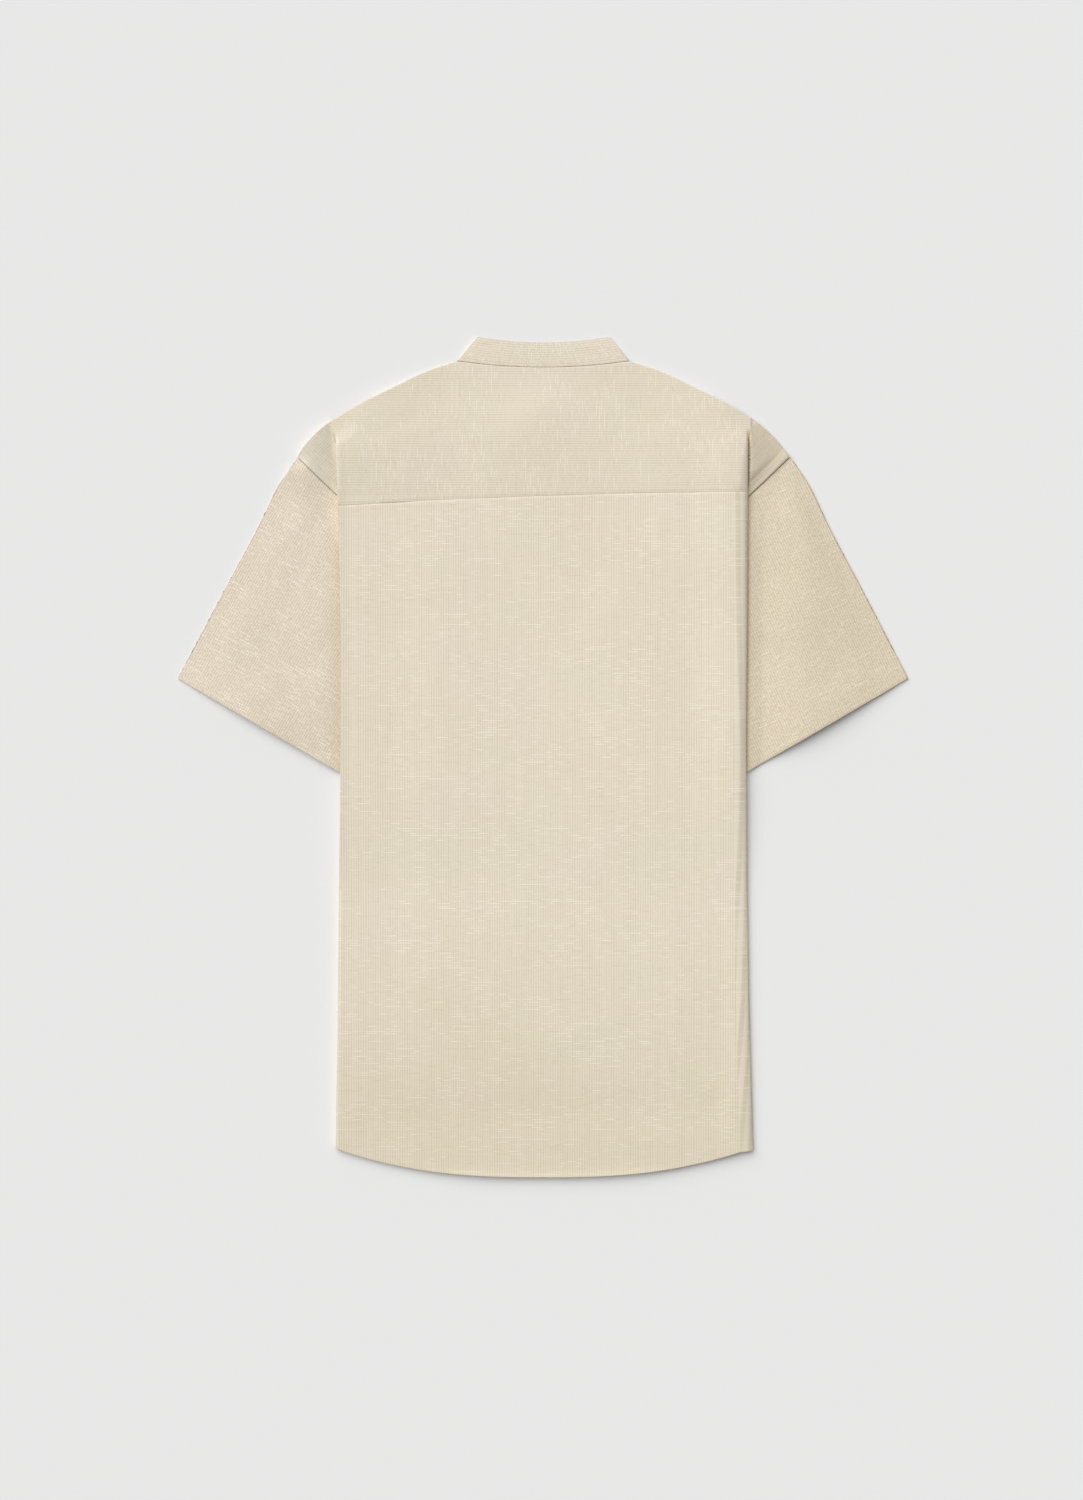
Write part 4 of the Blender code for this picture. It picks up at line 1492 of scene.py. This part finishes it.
# Soft patches in the cloth: how fine they are across and along the stripes, the noise's detail,
# and between which of its values they grow
Patches = namedtuple("Patches", "across along detail low high roughness shift", defaults=(0.5, 0))
STRIPE_FADES = Patches(0.2, 0.02, 2, 0.1, 0.75)
SLUB_CLUSTERS = Patches(0.016, 0.03, 3, 0.4, 0.62)
SLUBS = Patches(0.078, 3.7, 0, 0.545, 0.625)
RARE_SLUBS = Patches(0.05, 5.3, 0, 0.67, 0.75)
THIN_YARNS = Patches(0.07, 2.3, 0, 0.58, 0.76)
SPECKLES = Patches(0.33, 0.6, 2, 0.32, 0.68, roughness=0.7)
TINT_CLOUDS = Patches(0.012, 0.012, 2, 0.35, 0.65)
# Large soft clouds of painted shade
PAINTED_SHADE_CLOUDS = Patches(0.006, 0.006, 1, 0.35, 0.7, shift=40)
SEED_STEP = (131, 57)
STRIPE_WANDER = 0.7
WANDER_SCALE = (0.02, 0.006)
STRIPE_EDGES = (-0.7, 0.5)
# How strong each stripe is: at least, more where it isn't faded, and more by its own chance
LEAST_STRENGTH = 0.35
FADE_STRENGTH = 0.55
OWN_STRENGTH = 0.2
CLUSTER_SHARE = 0.8
# In shares of a yarn's pitch: where it can start, how soft its edge is and where it ends
YARN_START = (0.08, 0.38)
YARN_EDGE = 0.12
YARN_END = (0.54, 0.4)
SLUB_SHIFT = 997
SLUB_BUMP = 1.6
SLUB_PALENESS = 0.75
SLUB_SHADE = 0.4
THIN_YARN_SHADE = 0.35
WEAVE_BUMP = 0.5
STRIPE_BUMP = 0.5
BUMP = {"Strength": 0.4, "Distance": 0.07 * MM}
CLOTH_ROUGHNESS = (0.9, 0.78)
CLOTH_SHEEN = {"Specular IOR Level": 0.2, "Sheen Weight": 0.12, "Sheen Roughness": 0.5}


def stripe_in(nodes, place, run, finish):
    """The fine stripe, 0 where it is dark, and the colour that it gives the cloth."""
    wander = nodes.flat_noise(place * WANDER_SCALE[0], run * WANDER_SCALE[1], 1)
    stripe_place = (place + wander * STRIPE_WANDER) / STRIPE_PERIOD
    stripe = nodes.between((stripe_place * tau).math("SINE"), *STRIPE_EDGES)
    own_tone = nodes.chance(stripe_place.math("FLOOR") + 0.5)
    fade = nodes.patches(STRIPE_FADES, place, run)
    strength = fade * FADE_STRENGTH + own_tone * OWN_STRENGTH + LEAST_STRENGTH
    dark = nodes.mix(strength * finish.contrast, LIGHT_STRIPE, DARK_STRIPE)
    return stripe, nodes.mix(stripe, dark, LIGHT_STRIPE)


def slubs_in(nodes, place, run, finish, colour):
    """The thick, pale yarns, each shaded along one side, and the thin, dark ones."""
    yarn = (run / SLUB_PITCH).math("FLOOR")
    yarn_start = nodes.chance(yarn + 0.25) * YARN_START[1] + YARN_START[0]
    in_yarn = (run / SLUB_PITCH).math("FRACT") - yarn_start
    cluster = nodes.patches(SLUB_CLUSTERS, place, run)
    shift = nodes.chance(yarn + 0.5) * SLUB_SHIFT
    slub = nodes.patches(SLUBS, place + shift, yarn) * (cluster * CLUSTER_SHARE + (1 - CLUSTER_SHARE))
    slub = slub.math("MAXIMUM", nodes.patches(RARE_SLUBS, place - shift, yarn)) * finish.slubs
    swell = nodes.between(in_yarn, 0, YARN_EDGE) * nodes.between(in_yarn, *YARN_END)
    pale = slub * swell
    shade = slub * nodes.between(in_yarn, -YARN_EDGE, 0) * nodes.between(in_yarn, YARN_EDGE, 0)
    colour = nodes.mix(shade * SLUB_SHADE, colour, SHADED_YARN)
    colour = nodes.mix(pale * SLUB_PALENESS, colour, SLUB_YARN)
    thin = nodes.patches(THIN_YARNS, place + shift, yarn) * swell * THIN_YARN_SHADE
    return pale, nodes.mix(thin, colour, SHADED_YARN)


def tint_and_painted_shade(nodes, place, run, along, finish):
    """The panel's tone (painted shade on the right sleeve), soft clouds of colour and of painted shade,
    and painted shade near the hem and past the folds.
    """
    tint_and_shade = nodes.mix(nodes.patches(TINT_CLOUDS, place, run), WARM_TINT, GREEN_TINT)
    # Soft clouds of painted shade
    tint_and_shade = nodes.multiply(tint_and_shade, nodes.mix(nodes.patches(PAINTED_SHADE_CLOUDS, place, run), WHITE, PAINTED_SHADE_CLOUD_TINT))
    tint_and_shade = nodes.multiply(tint_and_shade, finish.tone)
    # Painted shade, darker towards the hem
    low = nodes.between(along, LOW_SHADE_END, LOW_SHADE_START)
    tint_and_shade = nodes.multiply(tint_and_shade, nodes.mix(low, finish.low_tone, WHITE))
    # Painted shade on the ledges past the left and right fold
    for way, tone in zip((-1, 1), finish.ledge_tones):
        past_fold = nodes.between(along * way, LEDGE_SHADE_START, LEDGE_SHADE_END)
        tint_and_shade = nodes.multiply(tint_and_shade, nodes.mix(past_fold, WHITE, tone))
    return tint_and_shade


def shirting_material(name, finish):
    """Fine two-tone stripe in a plain weave, with pale slub yarns across it."""
    nodes = Nodes(name)
    cloth = nodes.add("ShaderNodeUVMap", {"uv_map": "cloth"}, {})
    across = nodes.add("ShaderNodeSeparateXYZ", {}, {0: cloth}) / MM
    along = nodes.add("ShaderNodeSeparateXYZ", {}, {0: cloth}, output=1) / MM
    place = across + finish.seed * SEED_STEP[0]
    run = along + finish.seed * SEED_STEP[1]
    stripe, colour = stripe_in(nodes, place, run, finish)
    pale, colour = slubs_in(nodes, place, run, finish, colour)
    mottle = nodes.patches(SPECKLES, place, run) * finish.mottle
    colour = nodes.multiply(colour, nodes.mix(mottle, PALE_MOTTLE, DARK_MOTTLE))
    weft = (run * (tau / YARN_PITCH)).math("SINE")
    warp = (place * (tau / YARN_PITCH)).math("SINE")
    height = weft * warp * WEAVE_BUMP + pale * SLUB_BUMP + stripe * STRIPE_BUMP
    nodes.set({
        "Base Color": nodes.multiply(colour, tint_and_painted_shade(nodes, place, run, along, finish)),
        "Roughness": nodes.mix_numbers(pale, *CLOTH_ROUGHNESS),
        "Normal": nodes.add("ShaderNodeBump", {}, {**BUMP, "Height": height}),
        **CLOTH_SHEEN,
    })
    return nodes.material


def plain_material(name, colour, roughness, specular):
    nodes = Nodes(name)
    nodes.set({"Base Color": colour, "Roughness": roughness, "Specular IOR Level": specular})
    return nodes.material


BUTTON_CLOUD_SCALE = 260
BUTTON_CLOUD_EDGES = (0.35, 0.65)
BUTTON_SHINE = {"Roughness": 0.28, "Coat Weight": 0.3}


def button_material():
    """Pale plastic with soft clouds, like mother-of-pearl."""
    nodes = Nodes("button_plastic")
    place = nodes.add("ShaderNodeTexCoord", {}, {}, output="Object")
    clouds = nodes.between(nodes.noise(place, BUTTON_CLOUD_SCALE, 3), *BUTTON_CLOUD_EDGES)
    nodes.set({"Base Color": nodes.mix(clouds, *BUTTON_COLOURS), **BUTTON_SHINE})
    return nodes.material


# Stage

FLOOR_COLOUR = (0.825, 0.825, 0.825)
FLOOR_HALF_SIZE = 120
CAMERA_HEIGHT = 3
CAMERA_PLACE = (-0.0014, 0.0061)
SENSOR_WIDTH = 36
PHOTO_HEIGHT = 1.41
KEY_STRENGTH = 2.96
KEY_SPREAD = radians(72)
KEY_WAY = (0.54, -0.60, -0.92)
KEY_COLOUR = (1.0, 0.997, 0.99)
FILL_STRENGTH = 0.27
FILL_COLOUR = (0.985, 0.99, 1, 1)


def make_stage():
    mesh = bmesh.new()
    bmesh.ops.create_grid(mesh, x_segments=1, y_segments=1, size=FLOOR_HALF_SIZE)
    floor = add_object("floor", mesh_data("floor", mesh))
    floor.data.materials.append(plain_material("pale_floor", FLOOR_COLOUR, roughness=0.95, specular=0.1))

    camera = add_object("camera", bpy.data.cameras.new("camera"))
    camera.data.sensor_width = SENSOR_WIDTH
    camera.data.lens = SENSOR_WIDTH * CAMERA_HEIGHT / PHOTO_HEIGHT
    camera.location = (*CAMERA_PLACE, CAMERA_HEIGHT)
    scene = bpy.context.scene
    scene.camera = camera

    key = add_object("key", bpy.data.lights.new("key", "SUN"))
    key.data.energy = KEY_STRENGTH
    key.data.angle = KEY_SPREAD
    key.data.color = KEY_COLOUR
    key.rotation_euler = Vector(KEY_WAY).to_track_quat("-Z", "Y").to_euler()

    scene.world = bpy.data.worlds.new("studio")
    scene.world.use_nodes = True
    background = scene.world.node_tree.nodes["Background"].inputs
    background["Color"].default_value = FILL_COLOUR
    background["Strength"].default_value = FILL_STRENGTH
    scene.view_settings.view_transform = "Standard"


def main():
    random.seed(7)
    make_stage()
    finish = {name: shirting_material(f"shirting_{name}", look) for name, look in FINISHES.items()}
    cloth = {
        "back": make_back(finish["back"]),
        "yoke": make_yoke(finish["yoke"]),
        "front_left": make_front(LEFT, finish["front"]),
        "front_right": make_front(RIGHT, finish["front"]),
        "sleeve_left": make_sleeve(LEFT, finish["sleeve_left"]),
        "sleeve_right": make_sleeve(RIGHT, finish["sleeve_right"]),
        "collar": make_collar(finish["collar"]),
    }
    thread = plain_material("thread", THREAD_COLOUR, roughness=0.7, specular=0.3)
    sew(cloth, thread)
    sew_underside(cloth, thread)
    make_buttons(cloth, button_material(), thread)


main()
